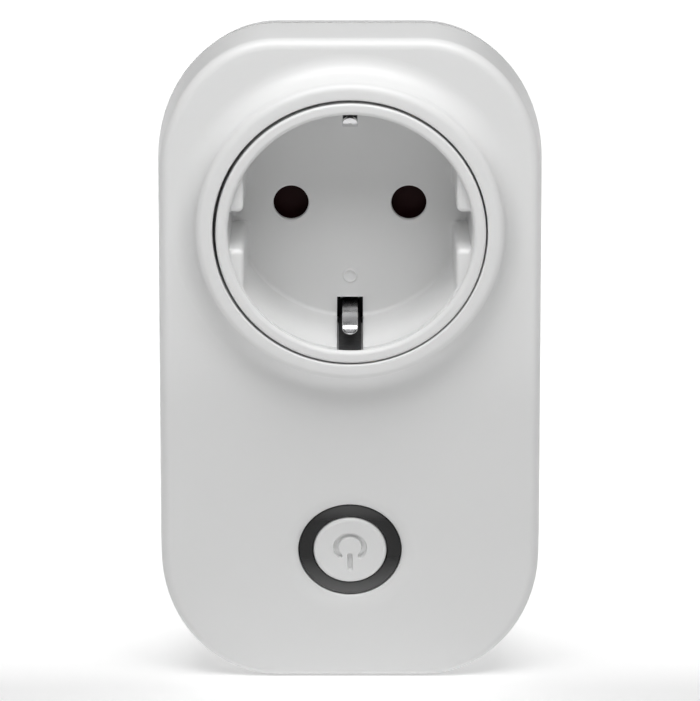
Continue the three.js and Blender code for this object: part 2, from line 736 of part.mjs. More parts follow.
function plugEarthClip() {
  const crossY = -matingWall - gap - clipThickness / 2;
  const outer = bossRadius - clipChannel + gap + clipThickness / 2;
  const bend = 1.2;
  const upper = [
    [-clipLength, outer], [-clipLength * 0.55, outer + clipBow],
    [crossY - bend, outer], [crossY, outer - bend],
  ];
  const lower = upper.map(([y, z]) => [y, -z]).reverse();
  const bar = alongX(strip([...upper, ...lower], clipThickness), -clipWidth / 2, clipWidth / 2);
  const half = clipThickness / 2;
  const eye = rod(eyeRadius, crossY - half, crossY + half, 0, earthHoleOffset, holeSides);
  const hole = rod(earthHoleRadius - 0.2, crossY - overrun, crossY + overrun, 0, earthHoleOffset, holeSides);
  return cut(join(bar, eye), hole);
}

// Holds the pins' tails; its foot carries the two stakes, its head backs the earth clip
function pinBridge() {
  const half = pinX + plateMargin;
  const [headHalf, headTop] = [4, 5.5];
  const footHalf = stakeX + stakeRadius + 1;
  const plate = box(-half, half, plateBackY, plateFrontY, -plateHalfHeight, plateHalfHeight);
  const head = box(-headHalf, headHalf, plateBackY, plateFrontY, 0, headTop);
  const foot = box(-footHalf, footHalf, plateBackY, plateFrontY, bridgeFootZ, 0);
  const through = [plateBackY - overrun, plateFrontY + overrun];
  const tailHoles = [-pinX, pinX].map(x => rod(tailRadius + gap, ...through, x, 0, mediumSides));
  const stakeHoles = [-stakeX, stakeX].map(x =>
    rod(stakeRadius + gap, ...through, x, -stakeDrop, smallSides));
  return cut(join(plate, head, foot), ...tailHoles, ...stakeHoles);
}

// ---------------------------------------------------------------- button and light ring (lower-face frame)
function powerSign() {
  const [inner, outer] = [signRadius - signStroke / 2, signRadius + signStroke / 2];
  const [startY, endY] = [capRecess - overrun, capRecess + signDepth];
  const section = [[inner, startY], [outer, startY], [outer, endY], [inner, endY]];
  const groove = turnedRing(section, 0, -buttonDrop, holeSides);
  const reach = 2 * signRadius;
  const spread = reach * Math.tan(signOpening);
  const opening = alongY(plane([
    [0, -buttonDrop], [-spread, -buttonDrop - reach], [spread, -buttonDrop - reach],
  ]), -3, 3);
  const half = signStroke / 2 + 0.05;
  const bar = box(-half, half, startY, endY, ...signBar.map(z => z - buttonDrop));
  return [cut(groove, opening), bar];
}

const capFlangeY = shellWall + 2 + gap;
const capBackY = capFlangeY + 0.9;
const boardFrontY = boardDepth - gap;
const switchFrontY = boardFrontY - switchHeight;
const plungerFrontY = switchFrontY - plungerReach;

function button() {
  const flange = capRadius + capFlange;
  const stem = 2;
  const cap = turned([
    [0, capRecess], [capRadius - capEdge, capRecess + 0.1], [capRadius, capRecess + 0.5],
    [capRadius, capFlangeY], [flange, capFlangeY], [flange, capBackY], [stem, capBackY],
    [stem, plungerFrontY - gap], [0, plungerFrontY - gap],
  ], 0, -buttonDrop, buttonSides);
  return cut(cap, ...powerSign());
}

function lightRing() {
  const flangeFront = shellWall + gap;
  const flangeBack = flangeFront + 1;
  const flange = ringOuter + ringFlange;
  const tube = ringOuter + ringTube;
  const bore = capRadius + capFlange + gap;
  const endY = boardDepth - ringToBoard;
  return turnedRing([
    [ringInner, ringRecess], [ringOuter, ringRecess], [ringOuter, flangeFront], [flange, flangeFront],
    [flange, flangeBack], [tube, flangeBack], [tube, endY], [bore, endY], [bore, flangeBack],
    [ringInner, flangeBack],
  ], 0, -buttonDrop, buttonSides);
}

function tactSwitch() {
  const half = switchSize / 2;
  const body = box(-half, half, switchFrontY, boardFrontY, -buttonDrop - half, half - buttonDrop);
  const rim = rod(plungerRadius + 0.8, switchFrontY - 0.4, switchFrontY + 0.2, 0, -buttonDrop, mediumSides);
  const boreEnd = switchFrontY + switchHeight / 2;
  const plungerBore = plungerRadius + plungerPlay;
  const bore = rod(plungerBore, switchFrontY - overrun, boreEnd, 0, -buttonDrop, mediumSides);
  return cut(join(body, rim), bore);
}

function switchPlunger() {
  const edge = 0.2;
  return turned([
    [0, plungerFrontY], [plungerRadius - edge, plungerFrontY], [plungerRadius, plungerFrontY + edge],
    [plungerRadius, switchFrontY + 1], [0, switchFrontY + 1],
  ], 0, -buttonDrop, mediumSides);
}

// ---------------------------------------------------------------- board and its parts (lower-face frame)
const boardBack = boardDepth + boardThickness;
const partBase = boardBack + gap;

// Block with chamfered edges, from its x and z ranges; it stands on the back of the board
function chip([x0, x1], [z0, z1], height, bevel = 0.4, base = partBase) {
  return alongY(plane([[x0, z0], [x1, z0], [x1, z1], [x0, z1]]), base, base + height, bevel);
}

// On the front of the board, behind the ring's light guide
function led(side) {
  const [width, height, thickness] = ledSize;
  const z = side * (ringOuter - 0.6) - buttonDrop;
  const base = boardFrontY - thickness;
  return chip([-width / 2, width / 2], [z - height / 2, z + height / 2], thickness, 0.15, base);
}

function roundedRect(x0, x1, z0, z1, radius) {
  const shape = new THREE.Shape();
  shape.moveTo(x0 + radius, z0);
  shape.absarc(x1 - radius, z0 + radius, radius, -Math.PI / 2, 0, false);
  shape.absarc(x1 - radius, z1 - radius, radius, 0, Math.PI / 2, false);
  shape.absarc(x0 + radius, z1 - radius, radius, Math.PI / 2, Math.PI, false);
  shape.absarc(x0 + radius, z0 + radius, radius, Math.PI, 1.5 * Math.PI, false);
  return shape;
}

// Its lower corners are cut away round the towers of the lower housing screws
function mainBoard() {
  const boardFoot = -boardTopDrop - boardHeight;
  const shape = roundedRect(-boardHalfWidth, boardHalfWidth, boardFoot, -boardTopDrop, boardCorner);
  const [startY, endY] = [boardDepth - overrun, boardBack + overrun];
  const screwHoles = [-boardScrewX, boardScrewX].map(x =>
    rod(screwRadius + screwGap, startY, endY, x, -boardScrewDrop, smallSides));
  const towerTop = lowerScrew[1] + rearTowerRadius + gap / 2;
  const reliefTop = (towerTop - slopeStart - boardDepth * Math.sin(faceSlope)) / Math.cos(faceSlope);
  const inner = lowerScrew[0] - rearTowerRadius - 3 * gap;
  const relief = box(inner, boardHalfWidth + overrun, startY, endY, boardFoot - overrun, reliefTop);
  const plate = alongY(shape, boardDepth, boardBack);
  return cut(plate, ...screwHoles, relief, relief.mirror([1, 0, 0]));
}

// Two windows in a rectangular frame; the winding fills them round the middle leg
const core = { x: [3, 19], z: [-17, -8], height: 9.5, leg: 2.6 };
const windingSize = { wrap: 2, lift: 2.6, height: 4.3 };

function transformerCore() {
  const [x0, x1] = [core.x[0] + core.leg, core.x[1] - core.leg];
  const [z0, z1] = core.z;
  const past = 2 * windingSize.wrap;
  const block = box(...core.x, partBase, partBase + core.height, z0, z1);
  const tools = [[z0 - past, z0 + 2.1], [z1 - 2.1, z1 + past]].map(([low, high]) =>
    box(x0, x1, partBase - overrun, partBase + core.height + overrun, low, high));
  const lift = partBase + windingSize.lift - gap;
  const room = box(x0, x1, lift, lift + windingSize.height + 2 * gap, z0 - past, z1 + past);
  return cut(block, room, ...tools);
}

function transformerWinding() {
  const [x0, x1] = [core.x[0] + core.leg + 0.4, core.x[1] - core.leg - 0.4];
  const [z0, z1] = [core.z[0] - gap, core.z[1] + gap];
  const startY = partBase + windingSize.lift;
  return alongY(roundedRect(x0, x1, z0, z1, 1.5), startY, startY + windingSize.height);
}

// Can with a rolled groove near its foot
function canCapacitor(x, z, radius = 4, height = 8.5) {
  const top = partBase + height;
  const groove = partBase + 1.3;
  return turned([
    [0, partBase], [radius, partBase], [radius, groove - 0.4], [radius - 0.35, groove],
    [radius, groove + 0.4], [radius, top - 0.5], [radius - 0.5, top], [0, top],
  ], x, z, mediumSides);
}

// Disc standing on its edge
function varistor(x, z, radius = 3.6, thickness = 3) {
  const disc = new THREE.CylinderGeometry(radius, radius, thickness, holeSides);
  return solid(disc.rotateZ(Math.PI / 2).translate(x, partBase + radius, z));
}

// Glass tube with end caps, lying along X
function fuse(x, z, length = 9, capSize = 1.9, tubeSize = 1.6, capLength = 2) {
  const points = [
    [0, 0], [capSize, 0], [capSize, capLength], [tubeSize, capLength + 0.1],
    [tubeSize, length - capLength - 0.1], [capSize, length - capLength], [capSize, length], [0, length],
  ];
  const barrel = new THREE.LatheGeometry(points.map(p => new THREE.Vector2(...p)), 16);
  return solid(barrel.rotateZ(Math.PI / 2).translate(x, partBase + capSize, z));
}

// Pan head with a cross slot
function screw(x, z, headY, tipY) {
  const shank = screwRadius - 0.1;
  const top = headY + screwHeadHeight;
  const blank = turned([
    [0, top], [screwHead - 0.9, top], [screwHead - 0.2, headY + screwHeadHeight * 0.6], [screwHead, headY],
    [shank, headY], [shank, tipY + 1.2], [0.3, tipY], [0, tipY],
  ], x, z, smallSides);
  const reach = screwHead * 0.6;
  const half = slotWidth / 2;
  const slotY = [top - slotDepth, top + overrun];
  return cut(blank,
    box(x - reach, x + reach, ...slotY, z - half, z + half),
    box(x - half, x + half, ...slotY, z - reach, z + reach));
}

// ---------------------------------------------------------------- assembly
const paint = (color, roughness = 0.5, metalness = 0) =>
  new THREE.MeshStandardMaterial({ color, roughness, metalness });
const white = paint(0xe9e9e8, 0.42);
const black = paint(0x141414, 0.5);
const maroon = paint(0x3a1214, 0.45);
const steel = paint(0xb9bbbd, 0.25, 1);
const brass = paint(0xc9a45a, 0.3, 1);
const nickel = paint(0xc8c8c6, 0.22, 1);
const smoke = paint(0x3a3b3c, 0.3);
const boardGreen = paint(0x1d5a35, 0.5);
const relayBlue = paint(0x2a5fa8, 0.4);
const ferrite = paint(0x2b2b2d, 0.6);
const copper = paint(0xd8a02c, 0.4);
const can = paint(0x23252c, 0.35);
const yellow = paint(0xd8c53a, 0.4);
const discBlue = paint(0x2f6fae, 0.5);
const glass = paint(0xd9d5c8, 0.2);
const tin = paint(0xa9abad, 0.35, 1);
const ledWhite = paint(0xf2f2e6, 0.3);
const brown = paint(0x7a4a2a, 0.4);
const earthGreen = paint(0x9cb43a, 0.4);

const smartPlug = new THREE.Group();

function piece(name, body, material, parent = smartPlug) {
  const { vertProperties, triVerts } = body.getMesh();
  const geometry = new THREE.BufferGeometry();
  geometry.setAttribute('position', new THREE.Float32BufferAttribute(vertProperties, 3));
  geometry.setIndex(Array.from(triVerts));
  geometry.computeVertexNormals();
  const mesh = new THREE.Mesh(geometry, material);
  mesh.name = name;
  parent.add(mesh);
}

piece('front_shell', frontShell(), white);
piece('rear_shell', rearShell(), white);
piece('socket_insert', socketInsert(), white);
piece('contact_carrier', contactCarrier(), black);
piece('shutter', shutter(), maroon);
piece('shutter_spring', shutterSpring(), steel);
piece('earth_contact', earthContact(), steel);
piece('live_contact', pinContact(pinX), brass);
piece('neutral_contact', pinContact(-pinX), brass);
piece('plug_pin_live', plugPin(pinX), nickel);
piece('plug_pin_neutral', plugPin(-pinX), nickel);
piece('plug_earth_clip', plugEarthClip(), nickel);
piece('pin_bridge', pinBridge(), black);

// Everything that lies parallel to the lower face
const lower = new THREE.Group();
lower.position.set(0, faceY, slopeStart);
lower.rotation.x = faceSlope;
smartPlug.add(lower);
piece('button', button(), white, lower);
piece('light_ring', lightRing(), smoke, lower);
piece('tact_switch', tactSwitch(), black, lower);
piece('switch_plunger', switchPlunger(), black, lower);
piece('led_1', led(1), ledWhite, lower);
piece('led_2', led(-1), ledWhite, lower);
piece('main_board', mainBoard(), boardGreen, lower);
piece('relay', chip([-16, 1], [-17.3, -7], 9.5), relayBlue, lower);
piece('transformer_core', transformerCore(), ferrite, lower);
piece('transformer_winding', transformerWinding(), copper, lower);
piece('capacitor_1', canCapacitor(-13, -28), can, lower);
piece('capacitor_2', canCapacitor(-3, -28), can, lower);
piece('x_capacitor', chip([4, 17], [-27, -20.5], 8), yellow, lower);
piece('varistor', varistor(-21.5, -10), discBlue, lower);
piece('fuse', fuse(-7, -20.6), glass, lower);
const radioThickness = 0.8;
piece('wifi_board', chip([-8, 8], [-48, -33], radioThickness, 0.1), boardGreen, lower);
piece('wifi_shield', chip([-6, 6], [-45.5, -35.5], 2.2, 0.4, partBase + radioThickness + gap), tin, lower);
piece('regulator_ic', chip([10.5, 15.5], [-36, -31], 1.7, 0.2), black, lower);
[-boardScrewX, boardScrewX].forEach((x, i) =>
  piece(`board_screw_${i + 1}`, screw(x, -boardScrewDrop, partBase, boardDepth - 6), steel, lower));

housingScrews.forEach(([x, z], i) => {
  const seat = screwSeatY([x, z]);
  piece(`housing_screw_${i + 1}`, screw(x, z, seat + gap, lowerFaceY(z) + shellWall + 2), steel);
});
carrierScrews.forEach(([x, z], i) =>
  piece(`carrier_screw_${i + 1}`, screw(x, z, carrierBackY + gap, floorY + 1.2), steel));

// Wires, each from one solder point to the next
const boardPad = x => {
  const pad = new THREE.Vector3(x, boardBack + gap, -padDrop);
  pad.applyAxisAngle(new THREE.Vector3(1, 0, 0), faceSlope);
  return pad.add(new THREE.Vector3(0, faceY, slopeStart)).toArray();
};
const padEnd = ([x, y, z]) => [[x, y + 5, z], [x, y + 0.6, z]];
const throatDrop = 7.8; // where the wires leave the boss
const throatX = Math.sqrt((bossInner - wireRadius - 0.8) ** 2 - throatDrop ** 2);

const mains = [
  { name: 'live', side: 1, colour: brown, padIn: 16, padOut: 7.5 },
  { name: 'neutral', side: -1, colour: discBlue, padIn: 19, padOut: 8 },
];
mains.forEach(({ name, side, colour, padIn, padOut }) => {
  const tailY = pinTailY - gap;
  piece(`${name}_wire_in`, wire([
    [side * pinX, tailY, 0], [side * pinX, tailY - 1.3, 0], [side * (pinX + 1.9), tailY - 3, -4],
    [side * throatX, backY + 0.7, -throatDrop], [side * (throatX + 0.3), backY - 3, -9],
    [side * (pinX + 4), backY - 6.5, -17], ...padEnd(boardPad(side * padIn)),
  ]), colour);
  const tabY = tailTabY + stripThickness / 2;
  const tabX = side * (pinX - contactTailX);
  piece(`${name}_wire_out`, wire([
    [tabX, tabY, -tabDrop - gap], [tabX, tabY, -tabDrop - 1.5], [tabX, tabY - 2.5, -tabDrop - 4.1],
    [side * (pinX - 1.9), backY - 4, -13], [side * padOut, backY - 7.5, -20],
    ...padEnd(boardPad(side * padOut)),
  ]), colour);
});
const earthTabZ = stripThickness / 2 - (fingerRoot - bridgeRoot);
const earthPadZ = bridgeFootZ - wireRadius - 1.6; // on the earth clip, below the pin bridge
piece('earth_wire', wire([
  [0, -matingWall - clipThickness - 3 * gap, earthPadZ], [0, plateBackY - gap, earthPadZ],
  [1.2, plateBackY - 6, Math.min(earthPadZ, earthTabZ) - 0.4],
  [0.4, backY - 2.5, earthTabZ], [0, bridgeFrontY + earthTabLength + gap, earthTabZ],
]), earthGreen);

export default smartPlug;
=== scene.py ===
"""Smart plug: fine shells, socket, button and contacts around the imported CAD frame.

Lengths in the mesh code are millimetres in the CAD frame; make_mesh() turns them into metres.
"""

import json
import math

import bmesh
import bpy
import numpy as np
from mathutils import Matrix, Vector


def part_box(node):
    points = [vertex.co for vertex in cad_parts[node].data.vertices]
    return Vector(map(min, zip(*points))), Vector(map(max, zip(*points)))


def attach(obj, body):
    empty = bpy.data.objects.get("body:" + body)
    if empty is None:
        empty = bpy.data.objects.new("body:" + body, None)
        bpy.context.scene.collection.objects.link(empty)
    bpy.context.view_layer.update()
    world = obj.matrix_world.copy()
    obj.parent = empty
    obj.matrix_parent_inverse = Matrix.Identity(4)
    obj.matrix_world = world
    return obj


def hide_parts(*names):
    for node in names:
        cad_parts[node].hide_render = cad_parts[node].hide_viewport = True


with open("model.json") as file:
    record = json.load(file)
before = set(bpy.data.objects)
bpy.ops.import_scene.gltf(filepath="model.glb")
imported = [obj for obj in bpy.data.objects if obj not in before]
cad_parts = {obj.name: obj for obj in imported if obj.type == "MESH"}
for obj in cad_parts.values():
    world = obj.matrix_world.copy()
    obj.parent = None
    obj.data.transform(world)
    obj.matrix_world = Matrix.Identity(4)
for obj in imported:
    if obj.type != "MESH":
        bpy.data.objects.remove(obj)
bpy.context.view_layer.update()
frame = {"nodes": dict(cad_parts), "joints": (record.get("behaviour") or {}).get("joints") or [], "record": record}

MM = 0.001
TAU = 2 * math.pi


# ---------------------------------------------------------------- sizes
def box_mm(node):
    low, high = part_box(node)
    return np.array(low) / MM, np.array(high) / MM


front_low, front_high = box_mm("front_shell")
insert_high = box_mm("socket_insert")[1]
press = next(j for j in frame["joints"] if j["name"] == "button_press")
SLOPE = math.atan2(press["axis"][2], press["axis"][1])  # lean of the lower face

TOP = front_high[2]
BOTTOM = front_low[2]
RIM_Y = front_low[1]  # lip of the socket, the foremost plane
WIDTH = 62.0  # at half height
GROWTH = 0.012  # the body widens downwards
CORNER_WIDE = 19.3
CORNER_TALL = 22.8
COLLAR_HEIGHT = 4.7
FACE_Y = RIM_Y + COLLAR_HEIGHT
BACK_Y = -17.5
SHELL_DEPTH = 9.4
SLOPE_START = -25.0
SLOPE_BLEND = 6.0  # the face bends over twice this height
WALL = 2.0
EDGE_ROUND = 1.6
DRAFT = 0.4
PARTING = 0.3
SEAM_ROUND = 0.25

BORE = 21.84
INSERT_RADIUS = 21.46
INSERT_SHIFT = (0.12, -0.12)  # the lip sits a little off centre in its bore
COLLAR_OUTER = 24.6
COLLAR_SHOULDER = 1.3
COLLAR_FOOT = 3.6
RECESS_MOUTH = 19.5
RECESS_FLOOR = 19.2
RECESS_DEPTH = 17.5
LEDGE_DEPTH = 1.5
KEY_HALF = 16.9
KEY_NOTCH = 6.2
FLOOR_THICKNESS = 2.2
FLOOR_Y = RIM_Y + RECESS_DEPTH
FLOOR_BACK_Y = FLOOR_Y + FLOOR_THICKNESS
PIN_X = 9.5
PIN_HOLE = 2.83

BUTTON_DROP = 32.7  # along the lower face, from the start of its slope
BUTTON_HOLE = 8.45
CAP_RADIUS = 5.95
RING_OUTER = 8.3
DISH_WIDTH = 2.4
DISH_DEPTH = 0.75

BRIDGE_Y = -29.0  # plate that joins the socket's earth fingers, behind the recess floor
MATING_WALL = 2.5
EARTH_HOLE_Z = 10.0  # hole of the plug's earth pin
PIN_RADIUS = 2.4


def quarter(count):
    """Angles of a quarter turn, without the first."""
    return np.linspace(0, math.pi / 2, count)[1:]


def lower_face(z):
    """Front face: upright above, leaning back below, with a soft bend between."""
    t = SLOPE_START - np.asarray(z, float)
    bend = np.clip(t + SLOPE_BLEND, 0, 2 * SLOPE_BLEND) ** 2 / (4 * SLOPE_BLEND)
    return FACE_Y + math.tan(SLOPE) * np.where(t > SLOPE_BLEND, t, bend)


SPLIT_TOP = FACE_Y + SHELL_DEPTH
SPLIT_BOTTOM = float(lower_face(BOTTOM)) + SHELL_DEPTH


def split(z):
    return SPLIT_TOP + (SPLIT_BOTTOM - SPLIT_TOP) * (TOP - np.asarray(z, float)) / (TOP - BOTTOM)


def sloped(points):
    """From the lower face's own frame (x, depth behind the face, height along it) to the row frame."""
    p = np.asarray(points, float)
    y = FACE_Y + p[..., 1] * math.cos(SLOPE) - p[..., 2] * math.sin(SLOPE)
    z = SLOPE_START + p[..., 1] * math.sin(SLOPE) + p[..., 2] * math.cos(SLOPE)
    return np.stack([p[..., 0], y, z], -1)


# ---------------------------------------------------------------- mesh tools
def curve_through(points, count):
    """Smooth line through points, with count steps between each two."""
    p = np.array(points, float)
    padded = np.vstack([2 * p[0] - p[1], p, 2 * p[-1] - p[-2]])
    line = []
    for k in range(len(p) - 1):
        a, b, c, d = padded[k:k + 4]
        square, cube = 2 * a - 5 * b + 4 * c - d, 3 * b - a - 3 * c + d
        for t in np.linspace(0, 1, count, endpoint=False):
            line.append(0.5 * (2 * b + (c - a) * t + square * t ** 2 + cube * t ** 3))
    return np.array(line + [p[-1]])


def make_mesh(name, patches, caps=(), weld=2e-3):
    """One closed mesh from grids of points (rings along the first axis) and flat caps."""
    verts, faces = [], []
    for grid, wrap in patches:
        start = len(verts)
        rows, cols = grid.shape[:2]
        verts.extend(grid.reshape(-1, 3))
        for r in range(rows - 1):
            for c in range(cols if wrap else cols - 1):
                d = (c + 1) % cols
                a, b = start + r * cols, start + (r + 1) * cols
                faces.append((a + c, a + d, b + d, b + c))
    for ring in caps:
        start = len(verts)
        verts.extend(ring)
        faces.append(tuple(range(start, start + len(ring))))
    mesh = bpy.data.meshes.new(name)
    mesh.from_pydata([tuple(np.asarray(v) * MM) for v in verts], [], faces)
    edit = bmesh.new()
    edit.from_mesh(mesh)
    bmesh.ops.remove_doubles(edit, verts=edit.verts, dist=weld * MM)
    bmesh.ops.dissolve_degenerate(edit, edges=edit.edges, dist=weld * MM)
    bmesh.ops.recalc_face_normals(edit, faces=edit.faces)
    edit.to_mesh(mesh)
    edit.free()
    obj = bpy.data.objects.new(name, mesh)
    bpy.context.scene.collection.objects.link(obj)
    return obj


def turned(name, profile, x=0.0, z=0.0, sides=96, closed=False, tilt=False):
    """Turned about the Y axis from [radius, y] points; the ends lie on the axis unless closed."""
    profile = list(profile) + ([profile[0]] if closed else [])
    angles = np.linspace(0, TAU, sides, endpoint=False)
    rows = [
        np.stack([x + r * np.cos(angles), np.full(sides, y), z + r * np.sin(angles)], -1)
        for r, y in profile
    ]
    grid = np.array(rows)
    return make_mesh(name, [(sloped(grid) if tilt else grid, True)])


def rod(name, y0, y1, radius, x, z, sides):
    return turned(name, [(0, y0), (radius, y0), (radius, y1), (0, y1)], x, z, sides)


def block(name, low, high):
    (x0, y0, z0), (x1, y1, z1) = low, high
    ring = lambda y: np.array([[x0, y, z0], [x1, y, z0], [x1, y, z1], [x0, y, z1]], float)
    grid = np.array([ring(y0), ring(y1)])
    return make_mesh(name, [(grid, True)], [grid[0], grid[1]])


def freeze(obj):
    """Applies the modifiers."""
    bpy.context.view_layer.update()
    graph = bpy.context.evaluated_depsgraph_get()
    mesh = bpy.data.meshes.new_from_object(obj.evaluated_get(graph))
    old = obj.data
    obj.modifiers.clear()
    obj.data = mesh
    bpy.data.meshes.remove(old)
    return obj


def boolean(obj, tool, operation="DIFFERENCE"):
    modifier = obj.modifiers.new(operation, "BOOLEAN")
    modifier.object = tool
    modifier.operation = operation
    modifier.solver = "EXACT"
    freeze(obj)
    bpy.data.objects.remove(tool)
    return obj


def clean(obj, dist=1e-3):
    edit = bmesh.new()
    edit.from_mesh(obj.data)
    bmesh.ops.remove_doubles(edit, verts=edit.verts, dist=dist * MM)
    bmesh.ops.dissolve_degenerate(edit, edges=edit.edges, dist=dist * MM)
    edit.to_mesh(obj.data)
    edit.free()
    return obj


def smooth(obj, angle=32, bevel=0.0, segments=2, bevel_angle=40):
    """Smooth shading with sharp edges kept, and a small rounding on them."""
    obj.data.shade_smooth()
    if bevel:
        edge = obj.modifiers.new("edge", "BEVEL")
        edge.width = bevel * MM
        edge.segments = segments
        edge.limit_method = "ANGLE"
        edge.angle_limit = math.radians(bevel_angle)
        edge.harden_normals = True
    obj.data.set_sharp_from_angle(angle=math.radians(angle))
    weighted = obj.modifiers.new("weighted", "WEIGHTED_NORMAL")
    weighted.keep_sharp = True
    return obj


# ---------------------------------------------------------------- materials
def material(name, build):
    mat = bpy.data.materials.new(name)
    mat.use_nodes = True
    nodes, links = mat.node_tree.nodes, mat.node_tree.links
    shader = nodes["Principled BSDF"]
    coords = nodes.new("ShaderNodeTexCoord")
    build(nodes, links, shader, coords.outputs["Object"])
    return mat


def noise(nodes, links, coords, scale, detail=3.0, roughness=0.5, stretch=None):
    node = nodes.new("ShaderNodeTexNoise")
    node.inputs["Scale"].default_value = scale
    node.inputs["Detail"].default_value = detail
    node.inputs["Roughness"].default_value = roughness
    if stretch:
        mapping = nodes.new("ShaderNodeMapping")
        mapping.inputs["Scale"].default_value = stretch
        links.new(coords, mapping.inputs["Vector"])
        coords = mapping.outputs["Vector"]
    links.new(coords, node.inputs["Vector"])
    return node.outputs["Fac"]


def ramp(nodes, links, value, stops):
    """Colour ramp; stops are (position, grey or colour)."""
    node = nodes.new("ShaderNodeValToRGB")
    elements = node.color_ramp.elements
    while len(elements) < len(stops):
        elements.new(0.5)
    for element, (position, colour) in zip(elements, stops):
        element.position = position
        colour = (colour,) * 3 if np.isscalar(colour) else colour
        element.color = (*colour, 1.0)
    links.new(value, node.inputs["Fac"])
    return node.outputs["Color"]


def uneven(nodes, links, shader, value, low, high):
    """Roughness that follows a noise value."""
    links.new(ramp(nodes, links, value, [(0.3, low), (0.7, high)]), shader.inputs["Roughness"])


def along(nodes, links, coords, axis, start, end):
    """Share of the way from start to end along one axis."""
    axes = nodes.new("ShaderNodeSeparateXYZ")
    links.new(coords, axes.inputs["Vector"])
    span = nodes.new("ShaderNodeMapRange")
    span.inputs["From Min"].default_value = start
    span.inputs["From Max"].default_value = end
    links.new(axes.outputs[axis], span.inputs["Value"])
    return span.outputs["Result"]


def bump(nodes, links, shader, height, strength, distance):
    node = nodes.new("ShaderNodeBump")
    node.inputs["Strength"].default_value = strength
    node.inputs["Distance"].default_value = distance * MM
    links.new(height, node.inputs["Height"])
    links.new(node.outputs["Normal"], shader.inputs["Normal"])


def moulded(colour, rough, grain, spread, coat=0.0, specular=0.5, scatter=0.0):
    """Moulded plastic: fine spark-eroded grain, faint flow clouds and slightly uneven gloss."""
    def build(nodes, links, shader, coords):
        clouds = noise(nodes, links, coords, 45.0)
        dark = tuple(c * (1 - spread) for c in colour)
        light = tuple(min(1.0, c * (1 + spread)) for c in colour)
        links.new(ramp(nodes, links, clouds, [(0.3, dark), (0.7, light)]), shader.inputs["Base Color"])
        uneven(nodes, links, shader, noise(nodes, links, coords, 900.0), *rough)
        fine = noise(nodes, links, coords, 5200.0, 2.0)
        bump(nodes, links, shader, fine, 0.35, grain)
        shader.inputs["Specular IOR Level"].default_value = specular
        shader.inputs["Coat Weight"].default_value = coat
        shader.inputs["Coat Roughness"].default_value = 0.12
        if scatter:
            shader.inputs["Subsurface Weight"].default_value = scatter
            shader.inputs["Subsurface Radius"].default_value = (1.0, 0.95, 0.9)
            shader.inputs["Subsurface Scale"].default_value = 0.9 * MM
    return build


def metal(colour, rough, brushed=(1.0, 1.0, 1.0), grain=0.02):
    """Drawn or plated metal: streaks along one direction, small dull patches."""
    def build(nodes, links, shader, coords):
        patches = noise(nodes, links, coords, 260.0, 4.0)
        dark = tuple(c * 0.86 for c in colour)
        look = ramp(nodes, links, patches, [(0.35, dark), (0.65, colour)])
        links.new(look, shader.inputs["Base Color"])
        streaks = noise(nodes, links, coords, 1400.0, 4.0, 0.6, brushed)
        uneven(nodes, links, shader, streaks, *rough)
        bump(nodes, links, shader, streaks, 0.25, grain)
        shader.inputs["Metallic"].default_value = 1.0
    return build


def circuit_board(nodes, links, shader, coords):
    """Green solder mask over a net of tracks, with tinned pads."""
    cells = nodes.new("ShaderNodeTexVoronoi")
    cells.distance = "MANHATTAN"
    cells.inputs["Scale"].default_value = 240.0
    links.new(coords, cells.inputs["Vector"])
    tracks = ramp(nodes, links, cells.outputs["Distance"], [
        (0.18, (0.55, 0.54, 0.5)), (0.24, (0.012, 0.11, 0.04)),
        (0.55, (0.016, 0.14, 0.05)), (0.62, (0.03, 0.21, 0.08)),
    ])
    links.new(tracks, shader.inputs["Base Color"])
    uneven(nodes, links, shader, noise(nodes, links, coords, 500.0), 0.22, 0.38)
    bump(nodes, links, shader, cells.outputs["Distance"], 0.3, 0.03)


def light_pipe(nodes, links, shader, coords):
    """Smoked light pipe, with painted light: its base colour is lighter at its top and at its foot than between.
    """
    low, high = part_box("light_ring")
    share = along(nodes, links, coords, "Z", low.z, high.z)
    # painted light: lighter base colour near the foot and the top of the ring, darker between
    look = ramp(nodes, links, share, [(0.08, 0.115), (0.42, 0.004), (0.75, 0.005), (0.95, 0.1)])
    links.new(look, shader.inputs["Base Color"])
    uneven(nodes, links, shader, noise(nodes, links, coords, 700.0), 0.16, 0.24)
    bump(nodes, links, shader, noise(nodes, links, coords, 2500.0), 0.08, 0.01)
    shader.inputs["Specular IOR Level"].default_value = 0.3
    shader.inputs["Coat Weight"].default_value = 0.1
    shader.inputs["Coat Roughness"].default_value = 0.08


def fuse_glass(nodes, links, shader, coords):
    """Glass tube with bright end caps."""
    low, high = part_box("fuse")
    share = along(nodes, links, coords, "X", low.x, high.x)
    caps = ramp(nodes, links, share, [(0.2, 1.0), (0.22, 0.0), (0.78, 0.0), (0.8, 1.0)])
    links.new(caps, shader.inputs["Metallic"])
    clouds = noise(nodes, links, coords, 800.0)
    look = ramp(nodes, links, clouds, [(0.3, (0.7, 0.7, 0.68)), (0.7, (0.85, 0.85, 0.83))])
    links.new(look, shader.inputs["Base Color"])
    shader.inputs["Roughness"].default_value = 0.15


